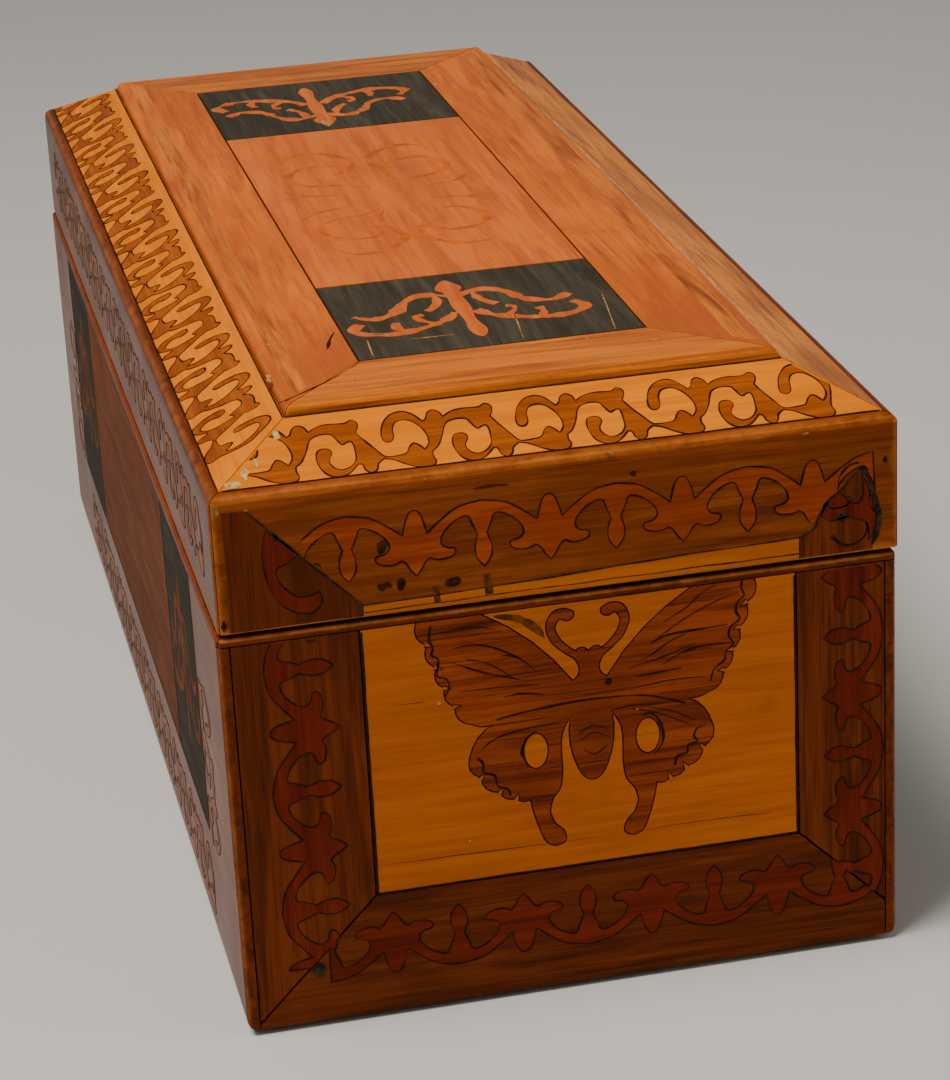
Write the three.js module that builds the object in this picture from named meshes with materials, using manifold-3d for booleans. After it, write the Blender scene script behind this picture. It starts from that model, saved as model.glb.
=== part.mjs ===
// A wooden marquetry puzzle box. Millimetres, +Z up. The long sides face -X (front) and +X (back, where the
// lid is hinged), and the short ends face -Y (near, with the butterfly) and +Y (far). The origin is on the
// resting face of the bottom board, under the middle of the box.
//
// Four things move: the lid turns on two butt hinges, the front facing slides along the box and uncovers
// the keyhole, the mitred rail of the near end is the front of a secret drawer, and the lock's bolt rises.
import * as THREE from "three";
import { mergeVertices } from "three/addons/utils/BufferGeometryUtils.js";
import Module from "manifold-3d";

const wasm = await Module();
wasm.setup();

// Driving dimensions of the box
const BOX_WIDTH = 150;
const BOX_LENGTH = 338;
const CASE_TOP = 95.4;
const SEAM = 1.2; // open line between case and lid
const LID_BAND = 30; // height of the lid's upright sides
const LID_SHIFT = 0.6; // the lid sits a little towards the back
const FOOT = 1.5; // the facings end this far above the bottom board's resting face
const CORNER_RADIUS = 1.6;
const FOOT_RADIUS = 2.5; // worn lower edges of the long sides

// Thicknesses and fits
const FACING = 2.6; // marquetry boards on the outside
const CORE = 9.3; // plain wall boards behind them
const RIM = 1.6; // strip glued on the case's top edge
const RIM_EASING = 0.6;
const LID_WALL = 12;
const GLUE = 0.3; // hairline between glued pieces
const KERF = 0.5; // dark saw line between marquetry pieces
const RUN = 0.3; // clearance round a sliding piece
const OVER = 2; // how far a cutter runs past what it cuts
const ROUND = 16; // sides of a small round piece

// Places of the case's faces, as distances from the box's middle
const HALF_WIDTH = BOX_WIDTH / 2;
const HALF_LENGTH = BOX_LENGTH / 2;
const RIM_BOTTOM = CASE_TOP - RIM;
const WALL_TOP = RIM_BOTTOM - GLUE;
const CORE_X = HALF_WIDTH - FACING - GLUE;
const CORE_Y = HALF_LENGTH - FACING - GLUE;
const INNER_X = CORE_X - CORE;
const INNER_Y = CORE_Y - CORE;
const RIM_INSET = HALF_WIDTH - INNER_X;
const LID_BOTTOM = CASE_TOP + SEAM;

// Near end: stiles and rail round the pale panel with the butterfly
const PANEL_LEFT = -44.5;
const PANEL_RIGHT = 52;
const PANEL_BOTTOM = 30.5;
const BUTTERFLY_X = 5.2;
const EYESPOT_OFFSET = 12.6;
const EYESPOT_Z = 59.8;
const EYESPOT_HALF_WIDTH = 2.9;
const EYESPOT_HALF_HEIGHT = 4.4;
const INLAY_DEPTH = 1.2;
const INLAY_GAP = 0.35;

// Bottom and secret drawer
const BOARD = 6; // bottom board
const FALSE_FLOOR = 3;
const FALSE_FLOOR_Z = PANEL_BOTTOM - 2;
const GUIDE = 3.5;
const DRAWER_FLOOR = BOARD + 2 * RUN;
const DRAWER_TOP = PANEL_BOTTOM - 3;
const DRAWER_LEFT = PANEL_LEFT + 1.5;
const DRAWER_RIGHT = PANEL_RIGHT - 1.5;
const DRAWER_END = -30;
const DRAWER_WOOD = 3.5;
const DRAWER_FRONT = 8;
const DRAWER_BOTTOM = 2;

// Key lying in the drawer
const KEY_X = 4;
const KEY_Y = -140; // middle of its bow
const KEY_SHANK = 30;
const KEY_RADIUS = 1.3;
const KEY_BOW_HALF_WIDTH = 7;
const KEY_BOW_HALF_LENGTH = 5.5;
const KEY_BOW_WIRE = 2.2;
const KEY_BIT = 5;

// Sliding front: a dovetail rail on the facing's back, in a groove of the front wall
const SLIDE_TRAVEL = 40;
const RAIL_START = -128;
const RAIL_END = CORE_Y - SLIDE_TRAVEL - RUN;
const RAIL_DEPTH = 4.5;
const RAIL_MOUTH = 7; // half heights of the dovetail
const RAIL_ROOT = 9.5;
const RAIL_Z = 42;

// Lock let into the front wall, where the sliding front uncovers its keyhole
const LOCK_Y = -141;
const LOCK_HALF = 13;
const LOCK_BOTTOM = 62;
const LOCK_DEPTH = 6;
const LOCK_BACK = -INNER_X - LOCK_DEPTH;
const LOCK_CAP = 1.2;
const KEYHOLE_Z = 76;
const KEYHOLE_RADIUS = 2.2;
const KEYHOLE_SLOT = 1.8;
const KEYHOLE_DROP = 6;
const ESCUTCHEON_THICK = 1;
const ESCUTCHEON_HALF_WIDTH = 5.5;
const ESCUTCHEON_HALF_HEIGHT = 8.5;
const BOLT_HALF = 5.7;
const BOLT_THICK = 2;
const BOLT_X = LOCK_BACK + LOCK_CAP + RUN;
const BOLT_BOTTOM = LOCK_BOTTOM + 4;
const BOLT_TOP = WALL_TOP - GLUE;
const BOLT_TRAVEL = 6;
const TALON = 6; // height of the notch that the key's bit turns in

// Butt hinges, their pins outside the back face at the height of the seam
const HINGE_Y = 105;
const HINGE_HALF = 15;
const KNUCKLE_HALF = 4.7; // the lid's middle knuckle
const KNUCKLE_RADIUS = 2.2;
const PIN_RADIUS = 0.9;
const PIN_CLEARANCE = 0.15;
const LEAF = 0.9;
const LEAF_GAP = 0.2; // between the two closed leaves
const LEAF_REACH = 11; // how far a leaf reaches in from the back face
const PIN_X = HALF_WIDTH + LID_SHIFT + KNUCKLE_RADIUS + RUN;
const PIN_Z = (CASE_TOP + LID_BOTTOM) / 2;
const SCREW_X = HALF_WIDTH - 6;
const SCREW_Y = 10;
const SCREW_HEAD = 1.7;
const SCREW_SHANK = 0.8;
const SCREW_LENGTH = 7;

// Lid: sloping bevels round a raised panel. Insets are measured from the lid's outer faces.
const BAND_TOP = LID_BOTTOM + LID_BAND;
const EDGE_INSET = 2.5; // rounded edge above the upright band
const EDGE_RISE = 0.9;
const EDGE_ROUND = 2.4; // the rounding starts this far below the band's top
const BEVEL_INSET = 20.1;
const BEVEL_RISE = 8.6;
const BEVEL_BOARD = 2.7; // measured upright
const STEP_INSET = 22.9;
const STEP_RISE = 2.2;
const BORDER_INSET = 43.9;
const FIELD_EXTRA = 3; // the field's extra width, towards the front
const CARTOUCHE_LENGTH = 55;
const TOP_PANEL = 4;
const LEDGE = 5.6; // the top board rests on the walls this far below the band's top
const LEDGE_Z = BAND_TOP - LEDGE;
const BEVEL_FOOT = BAND_TOP + EDGE_RISE;
const BEVEL_TOP = BEVEL_FOOT + BEVEL_RISE;
const LID_TOP = BEVEL_TOP + STEP_RISE;
const TOP_PANEL_Z = LID_TOP - TOP_PANEL;
const BEVEL_SLOPE = BEVEL_RISE / (BEVEL_INSET - EDGE_INSET);

function finish(color, roughness, metalness) {
  return new THREE.MeshStandardMaterial({ color, roughness, metalness });
}

const WALNUT = finish(0x6a3a1c, 0.4, 0);
const MAPLE = finish(0xd9953a, 0.35, 0);
const RED_WOOD = finish(0x9c4a22, 0.4, 0);
const EBONISED = finish(0x2e2620, 0.45, 0);
const CORE_WOOD = finish(0xa9793f, 0.7, 0);
const BRASS = finish(0xb08a3e, 0.35, 1);
const STEEL = finish(0x6f6c68, 0.45, 1);

// Solid modelling helpers

function solid(geometry) {
  const bare = geometry.clone();
  bare.deleteAttribute("normal");
  bare.deleteAttribute("uv");
  const merged = mergeVertices(bare, 1e-4);
  return new wasm.Manifold(
    new wasm.Mesh({
      numProp: 3,
      vertProperties: new Float32Array(merged.attributes.position.array),
      triVerts: new Uint32Array(merged.index.array),
    }),
  );
}

function geometryOf(body) {
  const mesh = body.getMesh();
  const geometry = new THREE.BufferGeometry();
  geometry.setAttribute("position", new THREE.BufferAttribute(mesh.vertProperties, 3));
  geometry.setIndex(new THREE.BufferAttribute(mesh.triVerts, 1));
  const faceted = geometry.toNonIndexed();
  faceted.computeVertexNormals();
  return faceted;
}

function cut(geometry, ...cutters) {
  return geometryOf(cutters.reduce((body, cutter) => body.subtract(solid(cutter)), solid(geometry)));
}

function join(geometry, ...others) {
  return geometryOf(others.reduce((body, other) => body.add(solid(other)), solid(geometry)));
}

function common(geometry, other) {
  return geometryOf(solid(geometry).intersect(solid(other)));
}

function about(middle, half) {
  return [middle - half, middle + half];
}

function grown([low, high], by) {
  return [low - by, high + by];
}

// A rectangular block between two values on each axis.
function block([x0, x1], [y0, y1], [z0, z1]) {
  const geometry = new THREE.BoxGeometry(x1 - x0, y1 - y0, z1 - z0);
  return geometry.translate((x0 + x1) / 2, (y0 + y1) / 2, (z0 + z1) / 2);
}

function outlineOf(pairs) {
  return pairs.map(([x, y]) => new THREE.Vector2(x, y));
}

function extrude(outline, depth) {
  return new THREE.ExtrudeGeometry(new THREE.Shape(outline), { depth, bevelEnabled: false });
}

// An outline in X and Z, made solid between two values of Y.
function alongY(outline, [y0, y1]) {
  return extrude(outline, y1 - y0).rotateX(Math.PI / 2).translate(0, y1, 0);
}

function uprightBar(radius, x, y, [z0, z1]) {
  const bar = new THREE.CylinderGeometry(radius, radius, z1 - z0, ROUND);
  return bar.rotateX(Math.PI / 2).translate(x, y, (z0 + z1) / 2);
}

function barAlongY(radius, x, z, [y0, y1]) {
  const bar = new THREE.CylinderGeometry(radius, radius, y1 - y0, ROUND);
  return bar.translate(x, (y0 + y1) / 2, z);
}

// The four strips of a mitred frame round the box. The outline's points are inset and height, and each
// strip's ends are drawn back by the inset and half the joint's gap.
function mitredFrame(outline, gap) {
  const strip = (halfAcross, halfAlong) => {
    const geometry = extrude(outline, 1);
    const position = geometry.attributes.position;
    for (let i = 0; i < position.count; i += 1) {
      const inset = position.getX(i);
      const end = position.getZ(i) > 0 ? -1 : 1;
      position.setXYZ(i, inset - halfAcross, end * (halfAlong - inset - gap / 2), position.getY(i));
    }
    return geometry;
  };
  return {
    front: strip(HALF_WIDTH, HALF_LENGTH),
    near: strip(HALF_LENGTH, HALF_WIDTH).rotateZ(Math.PI / 2),
    back: strip(HALF_WIDTH, HALF_LENGTH).rotateZ(Math.PI),
    far: strip(HALF_LENGTH, HALF_WIDTH).rotateZ(-Math.PI / 2),
  };
}

// The box's whole plan with its worn round corners, between two heights.
function roundedPlan([z0, z1]) {
  const x = HALF_WIDTH - CORNER_RADIUS;
  const y = HALF_LENGTH - CORNER_RADIUS;
  const plan = new THREE.Shape();
  plan.absarc(x, y, CORNER_RADIUS, 0, Math.PI / 2);
  plan.absarc(-x, y, CORNER_RADIUS, Math.PI / 2, Math.PI);
  plan.absarc(-x, -y, CORNER_RADIUS, Math.PI, 1.5 * Math.PI);
  plan.absarc(x, -y, CORNER_RADIUS, 1.5 * Math.PI, 2 * Math.PI);
  const options = { depth: z1 - z0, bevelEnabled: false, curveSegments: 4 };
  return new THREE.ExtrudeGeometry(plan, options).translate(0, 0, z0);
}

const box = new THREE.Group();
const lid = new THREE.Group();
lid.position.x = LID_SHIFT;
box.add(lid);

function add(group, name, geometry, material) {
  const mesh = new THREE.Mesh(geometry, material);
  mesh.name = name;
  group.add(mesh);
}

// Case

// The walls stand on the bottom board, behind the facings and the sliding front.
function addCarcase() {
  const wallZ = [BOARD + GLUE, WALL_TOP];
  const endX = about(0, INNER_X - GLUE);
  const backWall = block([INNER_X, CORE_X], about(0, CORE_Y), wallZ);
  const drawerMouth = block(
    grown([DRAWER_LEFT, DRAWER_RIGHT], RUN),
    grown([-CORE_Y, -INNER_Y], OVER),
    [BOARD - OVER, DRAWER_TOP + RUN],
  );
  add(box, "bottom_board", block(about(0, CORE_X), about(0, CORE_Y), [0, BOARD]), CORE_WOOD);
  add(box, "front_wall", frontWall(wallZ), CORE_WOOD);
  add(box, "back_wall", cut(backWall, ...caseScrewHoles()), CORE_WOOD);
  add(box, "near_wall", cut(block(endX, [-CORE_Y, -INNER_Y], wallZ), drawerMouth), CORE_WOOD);
  add(box, "far_wall", block(endX, [INNER_Y, CORE_Y], wallZ), CORE_WOOD);
}

// The front wall has the slide's dovetail groove, which runs out at the far end, and the lock's mortise,
// keyhole and escutcheon bed.
function frontWall(wallZ) {
  const board = block([-CORE_X, -INNER_X], about(0, CORE_Y), wallZ);
  const groove = dovetail([RAIL_START - RUN, CORE_Y + OVER], RUN, OVER);
  const mortise = block(
    [LOCK_BACK - GLUE, -INNER_X + OVER],
    about(LOCK_Y, LOCK_HALF + GLUE),
    [LOCK_BOTTOM - GLUE, WALL_TOP + OVER],
  );
  return cut(board, groove, mortise, keyhole([-CORE_X - OVER, -INNER_X]), escutcheonPlate(GLUE));
}

// The sliding front's dovetail bar. Its groove is the same bar with a clearance, reaching out past the wall.
function dovetail(spanY, clearance, reach) {
  const mouth = -CORE_X - reach;
  const root = -CORE_X + RAIL_DEPTH + clearance;
  const flare = (RAIL_ROOT - RAIL_MOUTH) / RAIL_DEPTH;
  const halfAt = (x) => RAIL_MOUTH + (x + CORE_X) * flare + clearance;
  const outline = outlineOf([
    [mouth, RAIL_Z - halfAt(mouth)],
    [root, RAIL_Z - halfAt(root)],
    [root, RAIL_Z + halfAt(root)],
    [mouth, RAIL_Z + halfAt(mouth)],
  ]);
  return alongY(outline, spanY);
}

// A keyhole through a span of X: a round hole with a slot below it.
function keyhole([x0, x1]) {
  const hole = new THREE.CylinderGeometry(KEYHOLE_RADIUS, KEYHOLE_RADIUS, x1 - x0, ROUND);
  hole.rotateZ(Math.PI / 2).translate((x0 + x1) / 2, LOCK_Y, KEYHOLE_Z);
  const slot = block([x0, x1], about(LOCK_Y, KEYHOLE_SLOT / 2), [KEYHOLE_Z - KEYHOLE_DROP, KEYHOLE_Z]);
  return join(hole, slot);
}

// The oval key plate let flush into the front wall, grown by a clearance to cut its bed.
function escutcheonPlate(clearance) {
  const thick = ESCUTCHEON_THICK + 2 * clearance;
  const plate = new THREE.CylinderGeometry(1, 1, thick, 2 * ROUND).rotateZ(Math.PI / 2);
  plate.scale(1, ESCUTCHEON_HALF_WIDTH + clearance, ESCUTCHEON_HALF_HEIGHT + clearance);
  return plate.translate(-CORE_X + ESCUTCHEON_THICK / 2, LOCK_Y, KEYHOLE_Z - KEYHOLE_DROP / 3);
}

function addFacings() {
  const endX = about(0, CORE_X);
  add(box, "back_facing", longFacing(1), WALNUT);
  add(box, "far_facing", block(endX, [HALF_LENGTH - FACING, HALF_LENGTH], [FOOT, WALL_TOP]), WALNUT);
  add(box, "near_stile_left", nearPiece(stile(-CORE_X, PANEL_LEFT), FACING), WALNUT);
  add(box, "near_stile_right", nearPiece(stile(CORE_X, PANEL_RIGHT), FACING), WALNUT);
  add(box, "near_panel", nearPanel(), MAPLE);
  add(box, "butterfly_inlay", butterflyInlay(), WALNUT);
}

// The facing board of a long side, with worn round ends and lower edge.
function longFacing(side) {
  const outer = side * HALF_WIDTH;
  const inner = side * (HALF_WIDTH - FACING);
  const section = new THREE.Path();
  section.moveTo(inner, WALL_TOP);
  section.lineTo(inner, FOOT);
  section.lineTo(outer - side * FOOT_RADIUS, FOOT);
  section.quadraticCurveTo(outer, FOOT, outer, FOOT + FOOT_RADIUS);
  section.lineTo(outer, WALL_TOP);
  const board = alongY(section.getPoints(4), about(0, HALF_LENGTH));
  return common(board, roundedPlan([FOOT - OVER, WALL_TOP + OVER]));
}

// A flat piece of the near end, its outer face in the box's near face.
function nearPiece(outline, thickness) {
  return alongY(outline, [-HALF_LENGTH, -HALF_LENGTH + thickness]);
}

// An upright of the near end, from the box's edge to the panel, its foot mitred against the drawer's rail.
function stile(edge, panelEdge) {
  const inner = panelEdge + (Math.sign(edge) * KERF) / 2;
  const foot = (x) => mitreZ(edge, panelEdge, x) + KERF / Math.SQRT2;
  return outlineOf([
    [edge, foot(edge)],
    [edge, WALL_TOP],
    [inner, WALL_TOP],
    [inner, foot(inner)],
  ]);
}

// The height of the 45 degree joint between stile and rail, which leaves the panel's lower corner outwards.
function mitreZ(edge, panelEdge, x) {
  return PANEL_BOTTOM - Math.sign(edge) * (x - panelEdge);
}

function nearPanel() {
  const half = KERF / 2;
  const outline = outlineOf([
    [PANEL_LEFT + half, PANEL_BOTTOM + half],
    [PANEL_RIGHT - half, PANEL_BOTTOM + half],
    [PANEL_RIGHT - half, WALL_TOP],
    [PANEL_LEFT + half, WALL_TOP],
  ]);
  const bedY = [-HALF_LENGTH - OVER, -HALF_LENGTH + INLAY_DEPTH + GLUE];
  const islands = [-1, 1].map((side) => alongY(eyespot(side, -INLAY_GAP), grown(bedY, OVER)));
  const bed = cut(alongY(grownOutline(butterfly(), INLAY_GAP), bedY), ...islands);
  return cut(nearPiece(outline, FACING), bed);
}

function butterflyInlay() {
  const throughY = [-HALF_LENGTH - OVER, -HALF_LENGTH + INLAY_DEPTH + OVER];
  const eyes = [-1, 1].map((side) => alongY(eyespot(side, 0), throughY));
  return cut(nearPiece(butterfly(), INLAY_DEPTH), ...eyes);
}

// The oval eyespot of a hind wing, where the panel shows through.
function eyespot(side, by) {
  const x = BUTTERFLY_X + side * EYESPOT_OFFSET;
  const width = EYESPOT_HALF_WIDTH + by;
  const height = EYESPOT_HALF_HEIGHT + by;
  const oval = new THREE.EllipseCurve(x, EYESPOT_Z, width, height);
  return oval.getPoints(2 * ROUND).slice(1);
}

// The swallowtail's outline: one half drawn from the head down to the tip of the abdomen, and its mirror
// image. Its fore wings run up to the top edge of the panel.
function butterfly() {
  const half = new THREE.Path();
  half.moveTo(0, 81.6);
  half.quadraticCurveTo(1.5, 83.6, 2.9, 82);
  drawAntenna(half);
  half.quadraticCurveTo(1.6, 78.4, 2.2, 76.8);
  half.quadraticCurveTo(2.7, 75.7, 3.9, 75.1);
  half.quadraticCurveTo(11.3, 86.6, 23.4, WALL_TOP);
  half.lineTo(37.3, WALL_TOP);
  drawScallops(half, [[35.2, 88.2], [33.4, 82.6], [31.8, 77.6], [29.8, 73], [26.4, 68.3]]);
  half.quadraticCurveTo(24.4, 67, 21.6, 67.5);
  half.quadraticCurveTo(25.8, 65.6, 27.2, 60.3);
  drawScallops(half, [[24.9, 55.3], [20.9, 51.2], [17.3, 49.2], [14.2, 48.4]]);
  drawTail(half);
  half.quadraticCurveTo(5.7, 60.4, 3.2, 54.4);
  half.quadraticCurveTo(1.9, 51.2, 0, 51.2);
  const right = half.getPoints(4);
  const left = right.slice(1, -1).reverse().map((point) => new THREE.Vector2(-point.x, point.y));
  return right.concat(left).map((point) => point.add(new THREE.Vector2(BUTTERFLY_X, 0)));
}

// A feeler that curls up and inwards to a round tip, from the head's crown back to its side.
function drawAntenna(path) {
  path.splineThru(outlineOf([[4.7, 83.4], [6.5, 85.6], [7.4, 88.2], [6.3, 90.2], [4.7, 89.6]]));
  path.quadraticCurveTo(2.7, 89.8, 3.2, 91.4);
  path.splineThru(outlineOf([[5.2, 92.3], [7.8, 91.6], [9.1, 88.4], [7.9, 84.9], [5.4, 82.3], [3.2, 80.6]]));
}

// The long tail of a hind wing, out to its round foot and back up the wing's inner edge to the abdomen.
function drawTail(path) {
  path.quadraticCurveTo(13.6, 44.5, 12.3, 40.6);
  path.splineThru(outlineOf([[11, 37.5], [8.9, 36.3], [6.9, 37.2], [7.2, 39.5], [9.2, 41.7], [10.2, 44.6]]));
  path.splineThru(outlineOf([[9.4, 47.7], [7.6, 50.3], [7, 54.5], [7.1, 60], [6.5, 63.8], [4.5, 67.2]]));
}

// Rounded lobes along a wing's edge, one up to each of the notches between them.
function drawScallops(path, notches) {
  const swell = 0.45; // a lobe's height above its chord, as a share of the chord
  for (const [x, y] of notches) {
    const start = path.currentPoint.clone();
    const chord = new THREE.Vector2(x, y).sub(start);
    const outward = new THREE.Vector2(-chord.y, chord.x);
    const crown = start.addScaledVector(chord, 0.5).addScaledVector(outward, swell);
    path.quadraticCurveTo(crown.x, crown.y, x, y);
  }
}

// A closed outline moved outwards all round by a distance.
function grownOutline(outline, by) {
  const side = THREE.ShapeUtils.isClockWise(outline) ? -1 : 1;
  const outward = (from, to) => {
    const normal = new THREE.Vector2(to.y - from.y, from.x - to.x);
    return normal.normalize().multiplyScalar(side);
  };
  return outline.map((corner, i) => {
    const before = outward(outline.at(i - 1), corner);
    const after = outward(corner, outline[(i + 1) % outline.length]);
    const mitre = before.clone().add(after).normalize();
    return corner.clone().addScaledVector(mitre, by / Math.max(mitre.dot(after), 0.5));
  });
}

function addRims() {
  const outline = outlineOf([
    [0, RIM_BOTTOM],
    [RIM_INSET, RIM_BOTTOM],
    [RIM_INSET, CASE_TOP],
    [RIM_EASING, CASE_TOP],
    [0, CASE_TOP - RIM_EASING],
  ]);
  const strips = mitredFrame(outline, GLUE);
  const plan = roundedPlan([RIM_BOTTOM - OVER, CASE_TOP + OVER]);
  const boltSlot = boltBlock([RIM_BOTTOM - OVER, CASE_TOP + OVER], RUN);
  const leafBeds = [-1, 1].map((side) => leafBed(side, [caseLeafZ()[0] - GLUE, CASE_TOP + OVER]));
  add(box, "rim_front", cut(common(strips.front, plan), boltSlot), RED_WOOD);
  add(box, "rim_back", cut(common(strips.back, plan), ...leafBeds, ...caseScrewHoles()), RED_WOOD);
  add(box, "rim_near", common(strips.near, plan), RED_WOOD);
  add(box, "rim_far", common(strips.far, plan), RED_WOOD);
}

// Lock

function boltBlock(spanZ, clearance) {
  return block(grown([BOLT_X, BOLT_X + BOLT_THICK], clearance), about(LOCK_Y, BOLT_HALF + clearance), spanZ);
}

function addLock() {
  const body = block([LOCK_BACK, -INNER_X], about(LOCK_Y, LOCK_HALF), [LOCK_BOTTOM, WALL_TOP]);
  const boltWay = boltBlock([BOLT_BOTTOM - RUN, WALL_TOP + OVER], RUN);
  const keyWay = keyhole([LOCK_BACK - OVER, -INNER_X - LOCK_CAP]);
  add(box, "lock_case", cut(body, boltWay, keyWay), BRASS);
  const talon = block(
    grown([BOLT_X, BOLT_X + BOLT_THICK], OVER),
    [LOCK_Y, LOCK_Y + BOLT_HALF + OVER],
    about(KEYHOLE_Z, TALON / 2),
  );
  add(box, "lock_bolt", cut(boltBlock([BOLT_BOTTOM, BOLT_TOP], 0), talon), STEEL);
  const throughPlate = keyhole(grown([-CORE_X, -CORE_X + ESCUTCHEON_THICK], OVER));
  add(box, "escutcheon", cut(escutcheonPlate(0), throughPlate), BRASS);
}

// Sliding front

function addFrontSlide() {
  add(box, "front_slide_board", longFacing(-1), WALNUT);
  add(box, "front_slide_rail", dovetail([RAIL_START, RAIL_END], 0, 0), CORE_WOOD);
}

// Secret drawer

function addFalseBottom() {
  const guideY = about(0, INNER_Y - GLUE);
  const guideZ = [BOARD + GLUE, FALSE_FLOOR_Z - GLUE];
  const left = DRAWER_LEFT - RUN;
  const right = DRAWER_RIGHT + RUN;
  const floorZ = [FALSE_FLOOR_Z, FALSE_FLOOR_Z + FALSE_FLOOR];
  add(box, "drawer_guide_left", block([left - GUIDE, left], guideY, guideZ), CORE_WOOD);
  add(box, "drawer_guide_right", block([right, right + GUIDE], guideY, guideZ), CORE_WOOD);
  add(box, "false_floor", block(about(0, INNER_X - GLUE), guideY, floorZ), CORE_WOOD);
}

function addDrawer() {
  const tall = [DRAWER_FLOOR, DRAWER_TOP];
  const frontY = -CORE_Y + DRAWER_FRONT;
  const sideY = [frontY + GLUE, DRAWER_END];
  const insideX = [DRAWER_LEFT + DRAWER_WOOD + GLUE, DRAWER_RIGHT - DRAWER_WOOD - GLUE];
  const backY = [DRAWER_END - DRAWER_WOOD, DRAWER_END];
  const bottomZ = [DRAWER_FLOOR, DRAWER_FLOOR + DRAWER_BOTTOM];
  const wide = [DRAWER_LEFT, DRAWER_RIGHT];
  add(box, "drawer_rail", nearPiece(drawerRail(), FACING), WALNUT);
  add(box, "drawer_front", block(wide, [-CORE_Y, frontY], tall), CORE_WOOD);
  add(box, "drawer_side_left", block([DRAWER_LEFT, DRAWER_LEFT + DRAWER_WOOD], sideY, tall), MAPLE);
  add(box, "drawer_side_right", block([DRAWER_RIGHT - DRAWER_WOOD, DRAWER_RIGHT], sideY, tall), MAPLE);
  add(box, "drawer_back", block(insideX, backY, tall), MAPLE);
  add(box, "drawer_bottom", block(insideX, [sideY[0], backY[0] - GLUE], bottomZ), MAPLE);
}

// The drawer's rail fills the frame's foot between the two mitres.
function drawerRail() {
  const top = PANEL_BOTTOM - KERF / 2;
  const end = (edge, panelEdge) => {
    const upper = panelEdge + Math.sign(edge) * (PANEL_BOTTOM - top - KERF / Math.SQRT2);
    const lower = mitreZ(edge, panelEdge, edge) - KERF / Math.SQRT2;
    return [[edge, FOOT], [edge, lower], [upper, top]];
  };
  return outlineOf([...end(-CORE_X, PANEL_LEFT), ...end(CORE_X, PANEL_RIGHT).reverse()]);
}

function addKey() {
  const z = DRAWER_FLOOR + DRAWER_BOTTOM + GLUE + KEY_RADIUS;
  const ring = new THREE.Shape();
  ring.absellipse(KEY_X, KEY_Y, KEY_BOW_HALF_WIDTH, KEY_BOW_HALF_LENGTH, 0, 2 * Math.PI);
  const hole = new THREE.Path();
  const holeHalf = [KEY_BOW_HALF_WIDTH - KEY_BOW_WIRE, KEY_BOW_HALF_LENGTH - KEY_BOW_WIRE];
  hole.absellipse(KEY_X, KEY_Y, ...holeHalf, 0, 2 * Math.PI);
  ring.holes.push(hole);
  const bow = new THREE.ExtrudeGeometry(ring, { depth: 2 * KEY_RADIUS, bevelEnabled: false });
  bow.translate(0, 0, z - KEY_RADIUS);
  const tip = KEY_Y + KEY_BOW_HALF_LENGTH + KEY_SHANK;
  const shank = barAlongY(KEY_RADIUS, KEY_X, z, [KEY_Y + KEY_BOW_HALF_LENGTH - KEY_BOW_WIRE / 2, tip]);
  const bitY = [tip - KEY_RADIUS - KEY_BIT, tip - KEY_RADIUS];
  const bit = block([KEY_X, KEY_X + KEY_BIT], bitY, about(z, KEY_RADIUS / 2));
  add(box, "key", join(bow, shank, bit), STEEL);
}

// Hinges

function caseLeafZ() {
  const top = PIN_Z - LEAF_GAP / 2;
  return [top - LEAF, top];
}

function lidLeafZ() {
  const bottom = PIN_Z + LEAF_GAP / 2;
  return [bottom, bottom + LEAF];
}

function leafBed(side, spanZ) {
  return block([HALF_WIDTH - LEAF_REACH - GLUE, PIN_X], about(side * HINGE_Y, HINGE_HALF + GLUE), spanZ);
}

// A leaf with its knuckles. The knuckle spans are places along the pin, and the gaps between them are cut
// away round the other leaf's knuckles.
function hingeLeaf(middle, spanZ, knuckles, gaps) {
  const shifted = ([y0, y1]) => [middle + y0, middle + y1];
  const plate = block([HALF_WIDTH - LEAF_REACH, PIN_X], about(middle, HINGE_HALF), spanZ);
  const gapX = [PIN_X - KNUCKLE_RADIUS - RUN, PIN_X + OVER];
  const clearances = gaps.map((gap) => block(gapX, shifted(gap), grown(spanZ, OVER)));
  const barrels = knuckles.map((span) => barAlongY(KNUCKLE_RADIUS, PIN_X, PIN_Z, shifted(span)));
  const bore = barAlongY(PIN_RADIUS + PIN_CLEARANCE, PIN_X, PIN_Z, about(middle, HINGE_HALF + OVER));
  const headHole = (y) => uprightBar(SCREW_HEAD + PIN_CLEARANCE, SCREW_X, y, grown(spanZ, OVER));
  return cut(join(cut(plate, ...clearances), ...barrels), bore, ...screwPlaces(middle).map(headHole));
}

function screwPlaces(middle) {
  return [middle - SCREW_Y, middle + SCREW_Y];
}

function caseScrewHoles() {
  const spanZ = [CASE_TOP - SCREW_LENGTH - OVER, CASE_TOP + OVER];
  const places = [-HINGE_Y, HINGE_Y].flatMap(screwPlaces);
  return places.map((y) => uprightBar(SCREW_SHANK + PIN_CLEARANCE, SCREW_X, y, spanZ));
}

// A countersunk screw with its head's face at the origin, pointing down.
function screw() {
  const outline = outlineOf([
    [0, -SCREW_LENGTH],
    [SCREW_SHANK, SCREW_SHANK - SCREW_LENGTH],
    [SCREW_SHANK, -LEAF],
    [SCREW_HEAD, 0],
    [0, 0],
  ]);
  return new THREE.LatheGeometry(outline, ROUND).rotateX(Math.PI / 2);
}

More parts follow.
